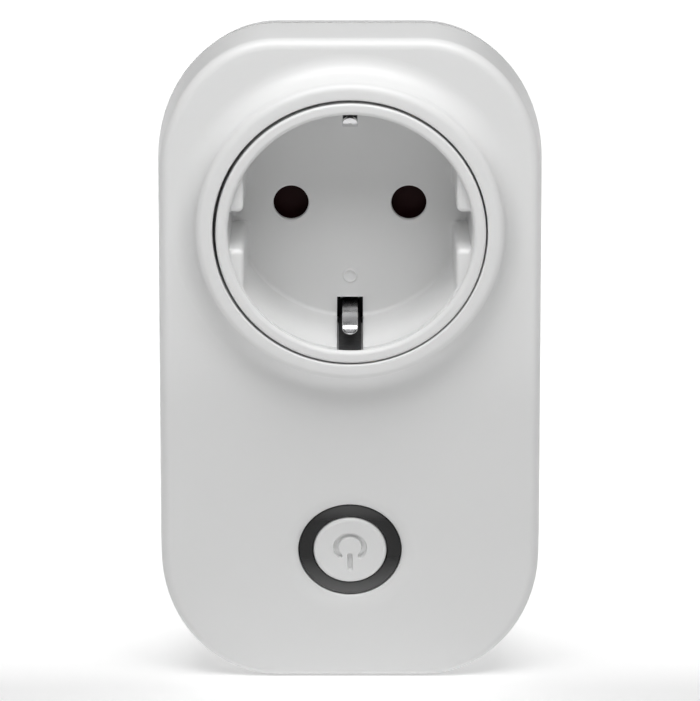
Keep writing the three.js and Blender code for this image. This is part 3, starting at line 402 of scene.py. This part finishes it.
LOOKS = {
    "white_plastic": moulded((0.76, 0.762, 0.76), (0.33, 0.43), 0.03, 0.008, specular=0.45, scatter=0.1),
    "black_plastic": moulded((0.012, 0.012, 0.013), (0.42, 0.55), 0.05, 0.2),
    # shutter's own dark red, darkened further as painted shade of the pin holes it is seen through
    "shutter_plastic": moulded((0.016, 0.002, 0.0024), (0.5, 0.6), 0.04, 0.1, specular=0.12),
    "smoked_light_pipe": light_pipe,
    "sprung_steel": metal((0.55, 0.55, 0.54), (0.2, 0.35)),
    "bright_metal": metal((0.8, 0.8, 0.81), (0.12, 0.26), (1.0, 0.06, 0.3), 0.03),
    "nickel_plate": metal((0.76, 0.75, 0.73), (0.14, 0.26), (1.0, 0.05, 1.0), 0.015),
    "brass": metal((0.76, 0.55, 0.24), (0.2, 0.36)),
    "zinc_screw": metal((0.62, 0.62, 0.6), (0.25, 0.42)),
    "led_resin": moulded((0.86, 0.85, 0.72), (0.15, 0.25), 0.01, 0.03, coat=0.6),
    "circuit_board": circuit_board,
    "tin_plate": metal((0.66, 0.67, 0.68), (0.25, 0.4), (1.0, 0.2, 1.0)),
    "relay_case": moulded((0.02, 0.11, 0.4), (0.3, 0.42), 0.04, 0.05),
    "ferrite": moulded((0.04, 0.04, 0.043), (0.6, 0.8), 0.08, 0.25),
    "winding_tape": moulded((0.68, 0.46, 0.05), (0.22, 0.32), 0.03, 0.06, coat=0.3),
    "capacitor_sleeve": moulded((0.02, 0.024, 0.05), (0.24, 0.34), 0.03, 0.1, coat=0.3),
    "yellow_case": moulded((0.72, 0.56, 0.04), (0.34, 0.46), 0.04, 0.05),
    "blue_epoxy": moulded((0.03, 0.14, 0.45), (0.28, 0.42), 0.06, 0.08),
    "fuse_glass": fuse_glass,
    "brown_wire": moulded((0.16, 0.06, 0.025), (0.3, 0.4), 0.03, 0.08),
    "blue_wire": moulded((0.03, 0.12, 0.42), (0.3, 0.4), 0.03, 0.08),
    "earth_wire_jacket": moulded((0.3, 0.5, 0.05), (0.3, 0.4), 0.03, 0.15),
}
materials = {slot: material(slot, build) for slot, build in LOOKS.items()}


def piece(obj, body, slot, *nodes):
    """The piece rides on its body, takes its slot's material and stands for its CAD nodes."""
    obj.data.materials.clear()
    obj.data.materials.append(materials[slot])
    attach(obj, body)
    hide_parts(*nodes)
    return obj


# ---------------------------------------------------------------- body outline
PATCH_SPLIT = -41.0  # the front face is meshed round the socket above this, round the button below


def stations():
    """Ordered points of the outline as (X0, A, Z0, B): x = X0 + A * wide, z = Z0 + B * tall."""
    corner_x = WIDTH / 2 - CORNER_WIDE
    upper, lower = TOP - CORNER_TALL, BOTTOM + CORNER_TALL
    side_up = [(corner_x, 1, z, 0) for z in np.linspace(PATCH_SPLIT, upper, 26)[:-1]]
    arc = lambda sx, z0, start: [
        (sx * corner_x, math.cos(a), z0, math.sin(a))
        for a in np.linspace(start, start + math.pi / 2, 25)
    ]
    edge = lambda z0, b, x0: [(x, 0, z0, b) for x in np.linspace(x0, -x0, 15)[1:-1]]
    mirror = lambda rows: [(-x0, -a, z0, b) for x0, a, z0, b in reversed(rows)]
    side_down = [(-corner_x, -1, z, 0) for z in np.linspace(PATCH_SPLIT, lower, 11)[1:-1]]
    upper_corners = arc(1, upper, 0) + edge(upper, 1, corner_x) + arc(-1, upper, math.pi / 2)
    lower_corners = arc(-1, lower, math.pi) + edge(lower, -1, -corner_x) + arc(1, lower, -math.pi / 2)
    return side_up + upper_corners + mirror(side_up), side_down + lower_corners + mirror(side_down)


UPPER_HALF, LOWER_HALF = stations()
STATIONS = np.array(UPPER_HALF + LOWER_HALF, float)
UPPER_COUNT = len(UPPER_HALF)


def outline(inset, foot=None):
    foot = inset if foot is None else foot
    x0, a, z0, b = STATIONS.T
    x = x0 + a * (CORNER_WIDE - inset)
    z = z0 + b * (CORNER_TALL - np.where(b < 0, foot, inset))
    middle = (TOP + BOTTOM) / 2
    return np.stack([x * (1 + GROWTH * (middle - z) / WIDTH), z], -1)


def ring3(plane, depth):
    """Outline points with their depth; depth is a function of the height."""
    return np.stack([plane[:, 0], depth(plane[:, 1]), plane[:, 1]], -1)


# ---------------------------------------------------------------- front shell
def patch_loops(plane):
    """The two closed loops that the front face is meshed in, as (x, z) points."""
    seam = np.linspace(plane[UPPER_COUNT - 1], plane[0], 40)[1:-1]
    upper = np.concatenate([plane[:UPPER_COUNT], seam])
    lower = np.concatenate([plane[UPPER_COUNT - 1:], plane[:1], seam[::-1]])
    return upper, lower


def collar_profile():
    """[radius, y] from the top of the bore to the foot of the collar."""
    lip = 0.3
    points = [(BORE, RIM_Y + 2.0), (BORE, RIM_Y + lip)]
    points += [(BORE + lip * (1 - math.cos(a)), RIM_Y + lip * (1 - math.sin(a)))
               for a in quarter(4)]
    flat_end = COLLAR_OUTER - COLLAR_SHOULDER
    points += [(r, RIM_Y) for r in np.linspace(BORE + lip, flat_end, 4)[1:]]
    points += [(flat_end + COLLAR_SHOULDER * math.sin(a), RIM_Y + COLLAR_SHOULDER * (1 - math.cos(a)))
               for a in np.linspace(0, math.radians(84), 9)[1:]]
    r0, y0 = points[-1]
    reach = COLLAR_OUTER + COLLAR_FOOT - r0
    drop = FACE_Y - y0
    points += [(r0 + reach * (1 - math.cos(a)), y0 + drop * math.sin(a)) for a in quarter(13)]
    return points


def front_face_upper(loop):
    angle = np.arctan2(loop[:, 1], loop[:, 0])
    rows = []
    profile = collar_profile()
    foot_end = profile[-1][0]
    for r, y in profile:
        x, z = r * np.cos(angle), r * np.sin(angle)
        share = np.clip((y - RIM_Y) / COLLAR_HEIGHT, 0, 1) ** 3
        rows.append(np.stack([x, y + share * (lower_face(z) - FACE_Y), z], -1))
    start = np.stack([foot_end * np.cos(angle), foot_end * np.sin(angle)], -1)
    for t in np.linspace(0, 1, 37)[1:]:
        flat = start + (loop - start) * t
        rows.append(np.stack([flat[:, 0], lower_face(flat[:, 1]), flat[:, 1]], -1))
    return np.array(rows)


def button_centre_z():
    return float(sloped([0, 0, -BUTTON_DROP])[2])


def front_face_lower(loop):
    angle = np.arctan2((loop[:, 1] - button_centre_z()) / math.cos(SLOPE), loop[:, 0])
    ring = lambda r, v: sloped(np.stack(
        [r * np.cos(angle), np.full(len(angle), v), r * np.sin(angle) - BUTTON_DROP], -1))
    rows = [ring(BUTTON_HOLE, DISH_DEPTH + 1.0)]
    # a small convex lip, then a shallow dish that runs out on the face
    for t in np.linspace(0, 1, 13):
        radius = BUTTON_HOLE + DISH_WIDTH * t
        rows.append(ring(radius, DISH_DEPTH * (1 - t) ** 2 * (1 + 0.25 * math.exp(-9 * t))))
    start = rows[-1]
    for t in np.linspace(0, 1, 25)[1:]:
        x = start[:, 0] + (loop[:, 0] - start[:, 0]) * t
        z = start[:, 2] + (loop[:, 1] - start[:, 2]) * t
        rows.append(np.stack([x, lower_face(z), z], -1))
    return np.array(rows)


def inner_face(loop, centre_z, squash, radius):
    """Inner side of the front wall, from the outline in to a round hole."""
    angle = np.arctan2((loop[:, 1] - centre_z) / squash, loop[:, 0])
    hole = np.stack([radius * np.cos(angle), centre_z + squash * radius * np.sin(angle)], -1)
    rows = []
    for t in np.linspace(0, 1, 7):
        flat = loop + (hole - loop) * t
        rows.append(np.stack([flat[:, 0], lower_face(flat[:, 1]) + WALL, flat[:, 1]], -1))
    return np.array(rows)


def front_shell():
    face_ring = outline(DRAFT + EDGE_ROUND, EDGE_ROUND)
    upper, lower = patch_loops(face_ring)
    face_upper, face_lower = front_face_upper(upper), front_face_lower(lower)
    sides = []
    for a in np.linspace(0, math.pi / 2, 9):
        inset = EDGE_ROUND * (1 - math.sin(a))
        depth = EDGE_ROUND * (1 - math.cos(a))
        sides.append(ring3(outline(DRAFT + inset, inset), lambda z, d=depth: lower_face(z) + d))
    seam = lambda d: (lambda z: split(z) - PARTING / 2 - d)
    for t in np.linspace(0.2, 1, 6):
        start, end = sides[8], ring3(outline(0.0, 0.0), seam(SEAM_ROUND))
        sides.append(start + (end - start) * t)
    for a in quarter(4):
        pull = SEAM_ROUND * (1 - math.cos(a))
        sides.append(ring3(outline(pull, pull), seam(SEAM_ROUND * (1 - math.sin(a)))))
    inner = outline(WALL + DRAFT, WALL)
    sides.append(ring3(outline(WALL), seam(0)))
    sides.append(ring3(inner, lambda z: lower_face(z) + WALL))
    inner_upper, inner_lower = patch_loops(inner)
    # both hole walls join the outer and the inner face, whose loops differ a little in angle
    button_hole = button_centre_z(), math.cos(SLOPE), BUTTON_HOLE
    bore_wall = turned_band(inner_upper, 0.0, 1.0, BORE, face_upper[0])
    hole_wall = turned_band(inner_lower, *button_hole, face_lower[0])
    patches = [
        (face_upper, True), (face_lower, True), (np.array(sides), True),
        (inner_face(inner_upper, 0.0, 1.0, BORE), True),
        (inner_face(inner_lower, *button_hole), True),
        (bore_wall, True), (hole_wall, True),
    ]
    shell = make_mesh("front_shell_skin", patches)
    return piece(smooth(shell, 38), "case", "white_plastic", "front_shell")


def turned_band(inner_loop, centre_z, squash, radius, outer_ring):
    """Wall of a round hole between the front face's first ring and the inner face's last."""
    angle = np.arctan2((inner_loop[:, 1] - centre_z) / squash, inner_loop[:, 0])
    x, z = radius * np.cos(angle), centre_z + squash * radius * np.sin(angle)
    return np.array([outer_ring, np.stack([x, lower_face(z) + WALL, z], -1)])


# ---------------------------------------------------------------- rear shell
REAR_TAPER = 9.5
REAR_FOOT_TAPER = 1.8
REAR_PROFILE = [(0, 0), (0.25, 0.12), (0.55, 0.34), (0.8, 0.58), (0.93, 0.8), (1, 1)]
BOSS_RADIUS = 18.9
BOSS_FLAT = 16.3
BOSS_RIB = 5.4
BOSS_INNER = 15.3
BOSS_ROUND = 0.9
CLIP_HALF = 2.8
CLIP_CHANNEL = 1.7
CLIP_WINDOW = 3.1  # height of the windows that the clip's arms pass, behind the mating wall
HOLE_CHAMFER = 0.35
SCREW_RECESS = 2.9
SCREW_HEAD = 2.0
SCREW_PILOT = 1.7
TOWER_RADIUS = 4.1
SEAT_WALL = 4.0


def screw_seats():
    """(x, z, y of the seat under the head) of the four housing screws."""
    for i in range(1, 5):
        low, high = box_mm(f"housing_screw_{i}")
        yield (low[0] + high[0]) / 2, (low[2] + high[2]) / 2, high[1] - SCREW_HEAD


def rear_rings(inward, count):
    rings = []
    for i, (depth, taper) in enumerate(curve_through(REAR_PROFILE, count)):
        front = lambda z: split(z) + (-1.0 if inward and i == 0 else PARTING / 2)
        level = lambda z, d=depth, f=front: f(z) + d * (BACK_Y - inward - f(z))
        plane = outline(inward + REAR_TAPER * taper, inward + REAR_FOOT_TAPER * max(0.0, 2 * taper - 1))
        rings.append(ring3(plane, level))
    return np.array(rings)


def boss_section(shrink=0.0):
    """(x, z) points of the plug contour: round, with a flat and a key rib left and right."""
    radius, flat, rib = BOSS_RADIUS - shrink, BOSS_FLAT - shrink, BOSS_RIB / 2 - shrink
    turn = math.acos(flat / radius)
    reach = math.sqrt((radius - 0.3) ** 2 - rib ** 2)
    right = [(flat, -radius * math.sin(turn)), (flat, -rib), (reach, -rib), (reach, rib), (flat, rib)]
    arc = [(radius * math.cos(a), radius * math.sin(a)) for a in np.linspace(turn, math.pi - turn, 40)]
    half = np.array(right + arc[:-1])
    return np.vstack([half, -half])


def plug_boss():
    levels = [(0.0, BACK_Y - 1.0), (0.0, -BOSS_ROUND)]
    levels += [(BOSS_ROUND * (1 - math.cos(a)), BOSS_ROUND * (math.sin(a) - 1)) for a in quarter(6)]
    rings = [np.insert(boss_section(shrink), 1, y, axis=1) for shrink, y in levels]
    return make_mesh("boss", [(np.array(rings), True)], [rings[0], rings[-1]])


def rear_shell():
    rings = rear_rings(0.0, 5)
    shell = make_mesh("rear_shell_skin", [(rings, True)], [rings[0], rings[-1]])
    boolean(shell, plug_boss(), "UNION")
    rings = rear_rings(WALL, 2)
    hollow = make_mesh("hollow", [(rings, True)], [rings[0], rings[-1]])
    for x, z, seat in screw_seats():
        boolean(hollow, rod("tower", seat - SEAT_WALL, 0, TOWER_RADIUS, x, z, 48))
    boolean(shell, hollow)
    boolean(shell, rod("boss_hollow", BACK_Y - 2 * WALL, -MATING_WALL, BOSS_INNER, 0, 0, 72))
    pin_hole = PIN_RADIUS + 0.15
    for x, z, radius in ((-PIN_X, 0, pin_hole), (PIN_X, 0, pin_hole), (0, EARTH_HOLE_Z, 2.7)):
        wide = radius + HOLE_CHAMFER
        profile = [(0, -6), (radius, -6), (radius, -HOLE_CHAMFER), (wide, 0), (wide, 2), (0, 2)]
        boolean(shell, turned("hole", profile, x, z, 40))
    for side in (1, -1):
        z0, z1 = sorted((side * (BOSS_RADIUS - CLIP_CHANNEL), side * (BOSS_RADIUS + 1)))
        boolean(shell, block("channel", (-CLIP_HALF, -14, z0), (CLIP_HALF, 1, z1)))
        z0, z1 = sorted((side * (BOSS_INNER - 1), side * BOSS_RADIUS))
        window = -MATING_WALL - CLIP_WINDOW, -MATING_WALL
        boolean(shell, block("window", (-CLIP_HALF, window[0], z0), (CLIP_HALF, window[1], z1)))
    for x, z, seat in screw_seats():
        boolean(shell, rod("recess", seat, 0, SCREW_RECESS, x, z, 40))
        boolean(shell, rod("pilot", seat - SEAT_WALL - 1, seat + 1, SCREW_PILOT, x, z, 24))
    return piece(smooth(clean(shell), 34), "case", "white_plastic", "rear_shell")


# ---------------------------------------------------------------- socket insert
KEY_CORNER = 0.9
KEY_EDGE = 0.8
FLOOR_FILLET = 0.7
LIP_INNER = 0.75  # roundings of the lip
LIP_OUTER = 0.45
FLANGE = 1.8
POST_RADIUS = 2.9
POST_PILOT = 1.4
MARK_Z = -12.3
MARK = [(1.3, 0.5), (1.25, -0.08), (1.0, -0.28), (0.75, -0.1), (0.5, -0.03)]  # ring's section on the floor
HOLE_EDGE = 0.28
HOLE_RELIEF = 0.85  # the pin holes widen by this behind a thin edge
SLOT_HALF = 2.1
SLOT_SPAN = (15.9, 21.0)
SLOT_TOP = 0.85


def section(mouth, key, count=22):
    """Recess outline: (x, z, push x, push z); push points into the plastic where a key has an edge."""
    notch, corner = KEY_NOTCH / 2, KEY_CORNER
    key_z = math.sqrt(mouth ** 2 - key ** 2)
    key_angle = math.atan2(key_z, key)
    notch_angle = math.asin(notch / mouth)
    right = []
    for a in np.linspace(-math.pi / 2, -key_angle, count):
        right.append((mouth * math.cos(a), mouth * math.sin(a), 0, 0))
    for z in np.linspace(-key_z, -notch - corner, 9)[1:]:
        right.append((key, z, 1, 0))
    for a in quarter(7):
        x, z = key + corner * (1 - math.cos(a)), -notch - corner * (1 - math.sin(a))
        right.append((x, z, math.cos(a), -math.sin(a)))
    for x in np.linspace(key + corner, mouth * math.cos(notch_angle), 5)[1:-1]:
        right.append((x, -notch, 0, -1))
    for a in np.linspace(-notch_angle, notch_angle, 9):
        right.append((mouth * math.cos(a), mouth * math.sin(a), 0, 0))
    lower_end = len(right) - 9
    mirrored = [(x, -z, px, -pz) for x, z, px, pz in reversed(right[1:lower_end])]
    half = np.array(right + mirrored)
    flip = half[::-1] * np.array([-1, 1, -1, 1])
    top = np.array([[0, mouth, 0, 0]])
    return np.vstack([half, top, flip[:-1]])


def recess_ring(y, offset=0.0):
    """Section ring at depth y; offset pushes the key edges into the plastic."""
    share = (y - RIM_Y) / RECESS_DEPTH
    points = section(RECESS_MOUTH + (RECESS_FLOOR - RECESS_MOUTH) * share, KEY_HALF - 0.3 * share)
    flat = points[:, :2] + offset * points[:, 2:]
    return np.stack([flat[:, 0], np.full(len(flat), y), flat[:, 1]], -1)


def socket_cup():
    ledge_y = RIM_Y + LEDGE_DEPTH
    rings = []
    for a in np.linspace(0, math.pi / 2, 5):
        base = recess_ring(FLOOR_Y - FLOOR_FILLET * (1 - math.cos(a)))
        pull = 1 - FLOOR_FILLET * (1 - math.sin(a)) / RECESS_FLOOR
        rings.append(base * np.array([pull, 1, pull]))
    rings += [recess_ring(y) for y in np.linspace(FLOOR_Y - FLOOR_FILLET, ledge_y + KEY_EDGE, 8)[1:]]
    for a in quarter(6):
        y = ledge_y + KEY_EDGE * (1 - math.sin(a))
        rings.append(recess_ring(y, KEY_EDGE * (1 - math.cos(a))))
    last = rings[-1]
    angle = np.arctan2(last[:, 2], last[:, 0])
    dx, dz = INSERT_SHIFT

    def circle(r, y):
        return np.stack([dx + r * np.cos(angle), np.full(len(angle), y), dz + r * np.sin(angle)], -1)

    mouth = np.hypot(last[:, 0], last[:, 2]).max()
    rings.append(circle(mouth, ledge_y))
    rings += [circle(RECESS_MOUTH + LIP_INNER * (1 - math.cos(a)), RIM_Y + LIP_INNER * (1 - math.sin(a)))
              for a in np.linspace(0, math.pi / 2, 7)]
    shoulder = INSERT_RADIUS - LIP_OUTER
    rings += [circle(shoulder + LIP_OUTER * math.sin(a), RIM_Y + LIP_OUTER * (1 - math.cos(a)))
              for a in np.linspace(0, math.pi / 2, 6)]
    flange_front, flange_radius = FACE_Y + WALL + 0.3, insert_high[0]
    for r, y in ((INSERT_RADIUS, flange_front), (flange_radius, flange_front),
                 (flange_radius, flange_front + FLANGE), (INSERT_RADIUS, flange_front + FLANGE),
                 (INSERT_RADIUS, FLOOR_BACK_Y)):
        rings.append(circle(r, y))
    return make_mesh("socket_insert_cup", [(np.array(rings), True)], [rings[0], rings[-1]])


def socket_insert():
    cup = socket_cup()
    for i in (1, 2):
        low, high = box_mm(f"carrier_screw_{i}")
        x, z = (low[0] + high[0]) / 2, (low[2] + high[2]) / 2
        boolean(cup, rod("post", FLOOR_BACK_Y - 0.5, insert_high[1], POST_RADIUS, x, z, 32), "UNION")
        boolean(cup, rod("pilot", FLOOR_Y + 1, 0, POST_PILOT, x, z, 24))
    # moulding gate mark on the recess floor
    mark = [(0, 0.5)] + MARK + [(0, MARK[-1][1])]
    boolean(cup, turned("mark", [(r, FLOOR_Y + y) for r, y in mark], 0, MARK_Z, 32), "UNION")
    wide, relief = PIN_HOLE + HOLE_EDGE, PIN_HOLE + HOLE_RELIEF
    for x in (-PIN_X, PIN_X):
        profile = [(0, FLOOR_Y - 1), (wide, FLOOR_Y - 1), (wide, FLOOR_Y)]
        profile += [(PIN_HOLE + HOLE_EDGE * (1 - math.sin(a)), FLOOR_Y + HOLE_EDGE * (1 - math.cos(a)))
                    for a in quarter(5)]
        profile += [(PIN_HOLE, FLOOR_Y + 0.7), (relief, FLOOR_Y + 0.95), (relief, FLOOR_BACK_Y + 1),
                    (0, FLOOR_BACK_Y + 1)]
        boolean(cup, turned("pin_hole", profile, x, 0, 64))
    for side in (1, -1):
        z0, z1 = sorted(side * z for z in SLOT_SPAN)
        boolean(cup, block("slot", (-SLOT_HALF, RIM_Y + SLOT_TOP, z0), (SLOT_HALF, FLOOR_BACK_Y + 1, z1)))
    return piece(smooth(clean(cup), 36), "case", "white_plastic", "socket_insert")


# ---------------------------------------------------------------- button and light ring
CENTRE = 0.02  # innermost radius of the cap's mesh
CAP_FRONT = 0.5
CAP_EDGE = 0.6
CAP_DISH = 0.42  # the cap is hollowed by this much at its centre
CAP_FLANGE = (0.9, 4.3, 5.2)  # reach past the cap, front and back
CAP_STEM = (2.0, 5.6)  # radius and back
SIGN_RADIUS = 2.3
SIGN_STROKE = 0.78
SIGN_DEPTH = 0.7
SIGN_WALL = 0.18
SIGN_GAP = math.radians(48)
SIGN_BAR = (-3.85, -1.5)
SIGN_RISE = 0.4  # the sign's centre above the cap's


def sign_distance(x, w):
    """Distance from a generic power sign, open at its foot; w goes up from the sign's centre."""
    radius = np.hypot(x, w)
    angle = np.abs(np.arctan2(x, -w))
    end_x, end_w = SIGN_RADIUS * math.sin(SIGN_GAP), -SIGN_RADIUS * math.cos(SIGN_GAP)
    ends = np.hypot(np.abs(x) - end_x, w - end_w)
    arc = np.where(angle > SIGN_GAP, np.abs(radius - SIGN_RADIUS), ends)
    bar = np.hypot(x, w - np.clip(w, *SIGN_BAR))
    return np.minimum(arc, bar) - SIGN_STROKE / 2


def button():
    sides = 288
    angle = np.linspace(0, TAU, sides, endpoint=False)
    rows = []
    flat = CAP_RADIUS - CAP_EDGE
    for r in np.linspace(CENTRE, flat, 110):
        x, w = r * np.cos(angle), r * np.sin(angle)
        crown = CAP_FRONT + CAP_DISH * (1 - (r / flat) ** 2)
        share = np.clip(0.5 - sign_distance(x, w - SIGN_RISE) / SIGN_WALL, 0, 1)
        groove = SIGN_DEPTH * share * share * (3 - 2 * share)
        rows.append(np.stack([x, crown + groove, w - BUTTON_DROP], -1))
    profile = [(flat + CAP_EDGE * math.sin(a), CAP_FRONT + CAP_EDGE * (1 - math.cos(a)))
               for a in quarter(8)]
    reach, front, back = CAP_FLANGE
    stem, end = CAP_STEM
    flange = CAP_RADIUS + reach
    profile += [(CAP_RADIUS, front), (flange, front), (flange, back), (stem, back), (stem, end),
                (CENTRE, end)]
    for r, v in profile:
        x, w = r * np.cos(angle), r * np.sin(angle)
        rows.append(np.stack([x, np.full(sides, v), w - BUTTON_DROP], -1))
    grid = sloped(np.array(rows))
    cap = make_mesh("button_cap", [(grid, True)], [grid[0], grid[-1]], weld=5e-4)
    return piece(smooth(cap, 75), "push_button", "white_plastic", "button")


RING_FLANGE = (1.7, 2.3, 3.3)  # reach past the ring, front and back
RING_TUBE = (7.25, 0.2, 9.2)  # light guide: inner radius, reach past the ring, back


def light_ring():
    inner, outer = CAP_RADIUS + 0.12, RING_OUTER
    reach, front, back = RING_FLANGE
    bore, tube, end = RING_TUBE
    flange, guide = outer + reach, outer + tube
    # the front has a soft inner and outer edge
    profile = [(inner, back), (inner, 1.15), (inner + 0.1, 0.98), (inner + 0.3, 0.9),
               (outer - 0.3, 0.95), (outer - 0.08, 1.05), (outer, 1.2), (outer, front), (flange, front),
               (flange, back), (guide, back), (guide, end), (bore, end), (bore, back)]
    ring = turned("light_ring_pipe", profile, 0, -BUTTON_DROP, 128, closed=True, tilt=True)
    return piece(smooth(ring, 34), "case", "smoked_light_pipe", "light_ring")


# ---------------------------------------------------------------- metal strips
def bent_strip(name, line, half_width, thickness, tip_round):
    """Strip along a (y, z) line; half_width is a function of the place, with round ends."""
    step = np.gradient(line, axis=0)
    step /= np.linalg.norm(step, axis=1)[:, None]
    normal = np.stack([-step[:, 1], step[:, 0]], -1)
    run = np.concatenate([[0], np.cumsum(np.linalg.norm(np.diff(line, axis=0), axis=1))])
    to_end = np.minimum(run, run[-1] - run)
    rings = []
    soft = thickness * 0.3
    for i, (y, z) in enumerate(line):
        half = half_width(y, z)
        if to_end[i] < tip_round:
            half *= math.sqrt(max(0.04, 1 - (1 - to_end[i] / tip_round) ** 2))
        t = thickness / 2
        # one corner, then the other three by mirroring
        corner = [(half - soft, t), (half - soft * 0.3, t - soft * 0.3), (half, t - soft)]
        right = [(x, -n) for x, n in corner] + corner[::-1]
        flat = right + [(-x, -n) for x, n in right]
        rings.append([(x, y + n * normal[i, 0], z + n * normal[i, 1]) for x, n in flat])
    rings = np.array(rings)
    return make_mesh(name, [(rings, True)], [rings[0], rings[-1]], weld=1e-4)


FINGER_HALF = 1.25
BRIDGE_EXTRA = 1.2
BRIDGE_END = 15.6


def mirrored_strip(upper, bridge_y, bridge_z, steps):
    """(y, z) line down through upper, across the bridge and back along upper's mirror image."""
    lower = [(y, -z) for y, z in reversed(upper)]
    bridge = curve_through([(bridge_y, z) for z in bridge_z], steps)[1:-1]
    return np.vstack([curve_through(upper, 5), bridge, curve_through(lower, 5)])


def earth_contact():
    end = box_mm("earth_contact")[1][1]
    crest_y, tip_y = RIM_Y + 7.1, RIM_Y + 4.1
    upper = [(tip_y, 18.1), (tip_y + 0.25, 17.5), (tip_y + 0.75, 16.9), (crest_y - 1.1, 16.3),
             (crest_y, 16.0), (crest_y + 1.6, 16.1), (crest_y + 5.0, 16.6), (FLOOR_Y, 17.1),
             (BRIDGE_Y - 2.2, 17.1), (BRIDGE_Y - 0.5, 16.7), (BRIDGE_Y, BRIDGE_END)]
    line = mirrored_strip(upper, BRIDGE_Y, (BRIDGE_END, 8, 0, -8, -BRIDGE_END), 5)
    wide = lambda y, z: FINGER_HALF + BRIDGE_EXTRA * float(np.clip((13.5 - abs(z)) / 1.5, 0, 1))
    strap = bent_strip("earth_contact_strap", line, wide, 0.6, FINGER_HALF)
    boolean(strap, block("tab", (-1.5, BRIDGE_Y + 0.1, -12.0), (1.5, end, -11.4)), "UNION")
    return piece(smooth(clean(strap), 40), "case", "bright_metal", "earth_contact")


CLIP_THICKNESS = 0.8
EYE_RADIUS = 4.4
EYE_HOLE = 2.5


def plug_earth_clip():
    cross_y = box_mm("plug_earth_clip")[1][1] - CLIP_THICKNESS / 2
    outer = BOSS_RADIUS - CLIP_CHANNEL + 0.7
    upper = [(-13.0, outer - 0.1), (-11.5, outer + 0.25), (-7.15, outer + 0.5), (-5.2, outer + 0.15),
             (cross_y - 0.6, outer - 0.15), (cross_y - 0.1, outer - 0.6), (cross_y, outer - 1.3)]
    line = mirrored_strip(upper, cross_y, (outer - 1.3, 8, 0, -8, 1.3 - outer), 4)
    clip = bent_strip("plug_earth_strap", line, lambda y, z: 2.5, CLIP_THICKNESS, 0.5)
    half = CLIP_THICKNESS / 2
    boolean(clip, rod("eye", cross_y - half, cross_y + half, EYE_RADIUS, 0, EARTH_HOLE_Z, 48), "UNION")
    boolean(clip, rod("eye_hole", cross_y - 2, cross_y + 2, EYE_HOLE, 0, EARTH_HOLE_Z, 48))
    return piece(smooth(clean(clip), 36), "case", "nickel_plate", "plug_earth_clip")


TAIL_RADIUS = 1.6
COLLAR = (3.4, -5.9, -2.8)  # collar of a pin behind the mating wall: radius, front and back
PIN_DOME = 2.0


def plug_pin(side):
    node = "plug_pin_live" if side > 0 else "plug_pin_neutral"
    low, high = box_mm(node)
    start, end = low[1], high[1]
    collar, front, back = COLLAR
    edge = 0.1
    profile = [(0, start), (TAIL_RADIUS - 0.15, start), (TAIL_RADIUS, start + 0.15), (TAIL_RADIUS, front),
               (collar - edge, front), (collar, front + edge), (collar, back - edge), (collar - edge, back),
               (PIN_RADIUS, back)]
    profile += [(PIN_RADIUS * math.cos(a), end - PIN_DOME + PIN_DOME * math.sin(a))
                for a in np.linspace(0, math.pi / 2, 12)]
    profile[-1] = (0, end)
    pin = turned(f"{node}_turned", profile, side * PIN_X, 0, 64)
    return piece(smooth(pin, 36), "case", "nickel_plate", node)


# ---------------------------------------------------------------- build
front_shell()
rear_shell()
socket_insert()
button()
light_ring()
earth_contact()
plug_earth_clip()
plug_pin(1)
plug_pin(-1)

# Carried-over CAD nodes: their slot's material, soft edges and smooth round faces
slot_of = {s["node"]: s["material_slot"] for s in frame["record"]["subparts"]}
for node, obj in frame["nodes"].items():
    obj.data.materials.clear()
    obj.data.materials.append(materials[slot_of[node]])
    if obj.hide_render:
        continue
    obj.modifiers.new("weld", "WELD").merge_threshold = 1e-6
    smooth(obj, 34, bevel=0.08, segments=2, bevel_angle=55)

# ---------------------------------------------------------------- studio
floor = block("floor", (-4000, -3000, BOTTOM - 10), (4000, 5000, BOTTOM))


def floor_paper(nodes, links, shader, coords):
    """Pale paper that glows as painted light: faint at the object's front, stronger behind it."""
    look = ramp(nodes, links, noise(nodes, links, coords, 6.0), [(0.3, 0.9), (0.7, 0.92)])
    links.new(look, shader.inputs["Base Color"])
    share = along(nodes, links, coords, "Y", -0.045, 0.455)
    # painted light: the floor's emission rises from the object's front to far behind it
    glow = ramp(nodes, links, share, [(0.0, 0.16), (0.075, 0.78), (0.3, 0.8), (0.95, 1.0)])
    links.new(glow, shader.inputs["Emission Color"])
    shader.inputs["Emission Strength"].default_value = 1.0
    shader.inputs["Roughness"].default_value = 0.75


floor.data.materials.append(material("floor_paper", floor_paper))


def softbox(name, place, target, size, power):
    light = bpy.data.lights.new(name, "AREA")
    light.shape = "RECTANGLE"
    light.size, light.size_y = size
    light.energy = power
    lamp = bpy.data.objects.new(name, light)
    lamp.location = place
    lamp.rotation_euler = (Vector(target) - Vector(place)).to_track_quat("-Z", "Y").to_euler()
    bpy.context.scene.collection.objects.link(lamp)


softbox("near_softbox", (0.0, -0.22, 0.34), (0, -0.05, 0.0), (0.4, 0.25), 1.70)
softbox("high_softbox", (0.0, -0.40, 0.60), (0, -0.05, 0.0), (1.4, 0.3), 0.56)
softbox("front_softbox", (0.0, -1.0, 0.45), (0, -0.04, 0.0), (0.8, 0.6), 0.58)
world = bpy.data.worlds.new("studio")
world.use_nodes = True
world.node_tree.nodes["Background"].inputs["Color"].default_value = (1, 1, 1, 1)
world.node_tree.nodes["Background"].inputs["Strength"].default_value = 0.02
bpy.context.scene.world = world
bpy.context.scene.view_settings.view_transform = "Standard"

camera_data = bpy.data.cameras.new("camera")
camera_data.lens = 287.6
camera_data.sensor_width = 36
camera_data.clip_end = 20
camera = bpy.data.objects.new("camera", camera_data)
camera.location = (0.0, (RIM_Y - 848.7) * MM, 256.7 * MM)
camera.rotation_euler = (math.radians(90 - 18.02), 0, 0)
bpy.context.scene.collection.objects.link(camera)
bpy.context.scene.camera = camera
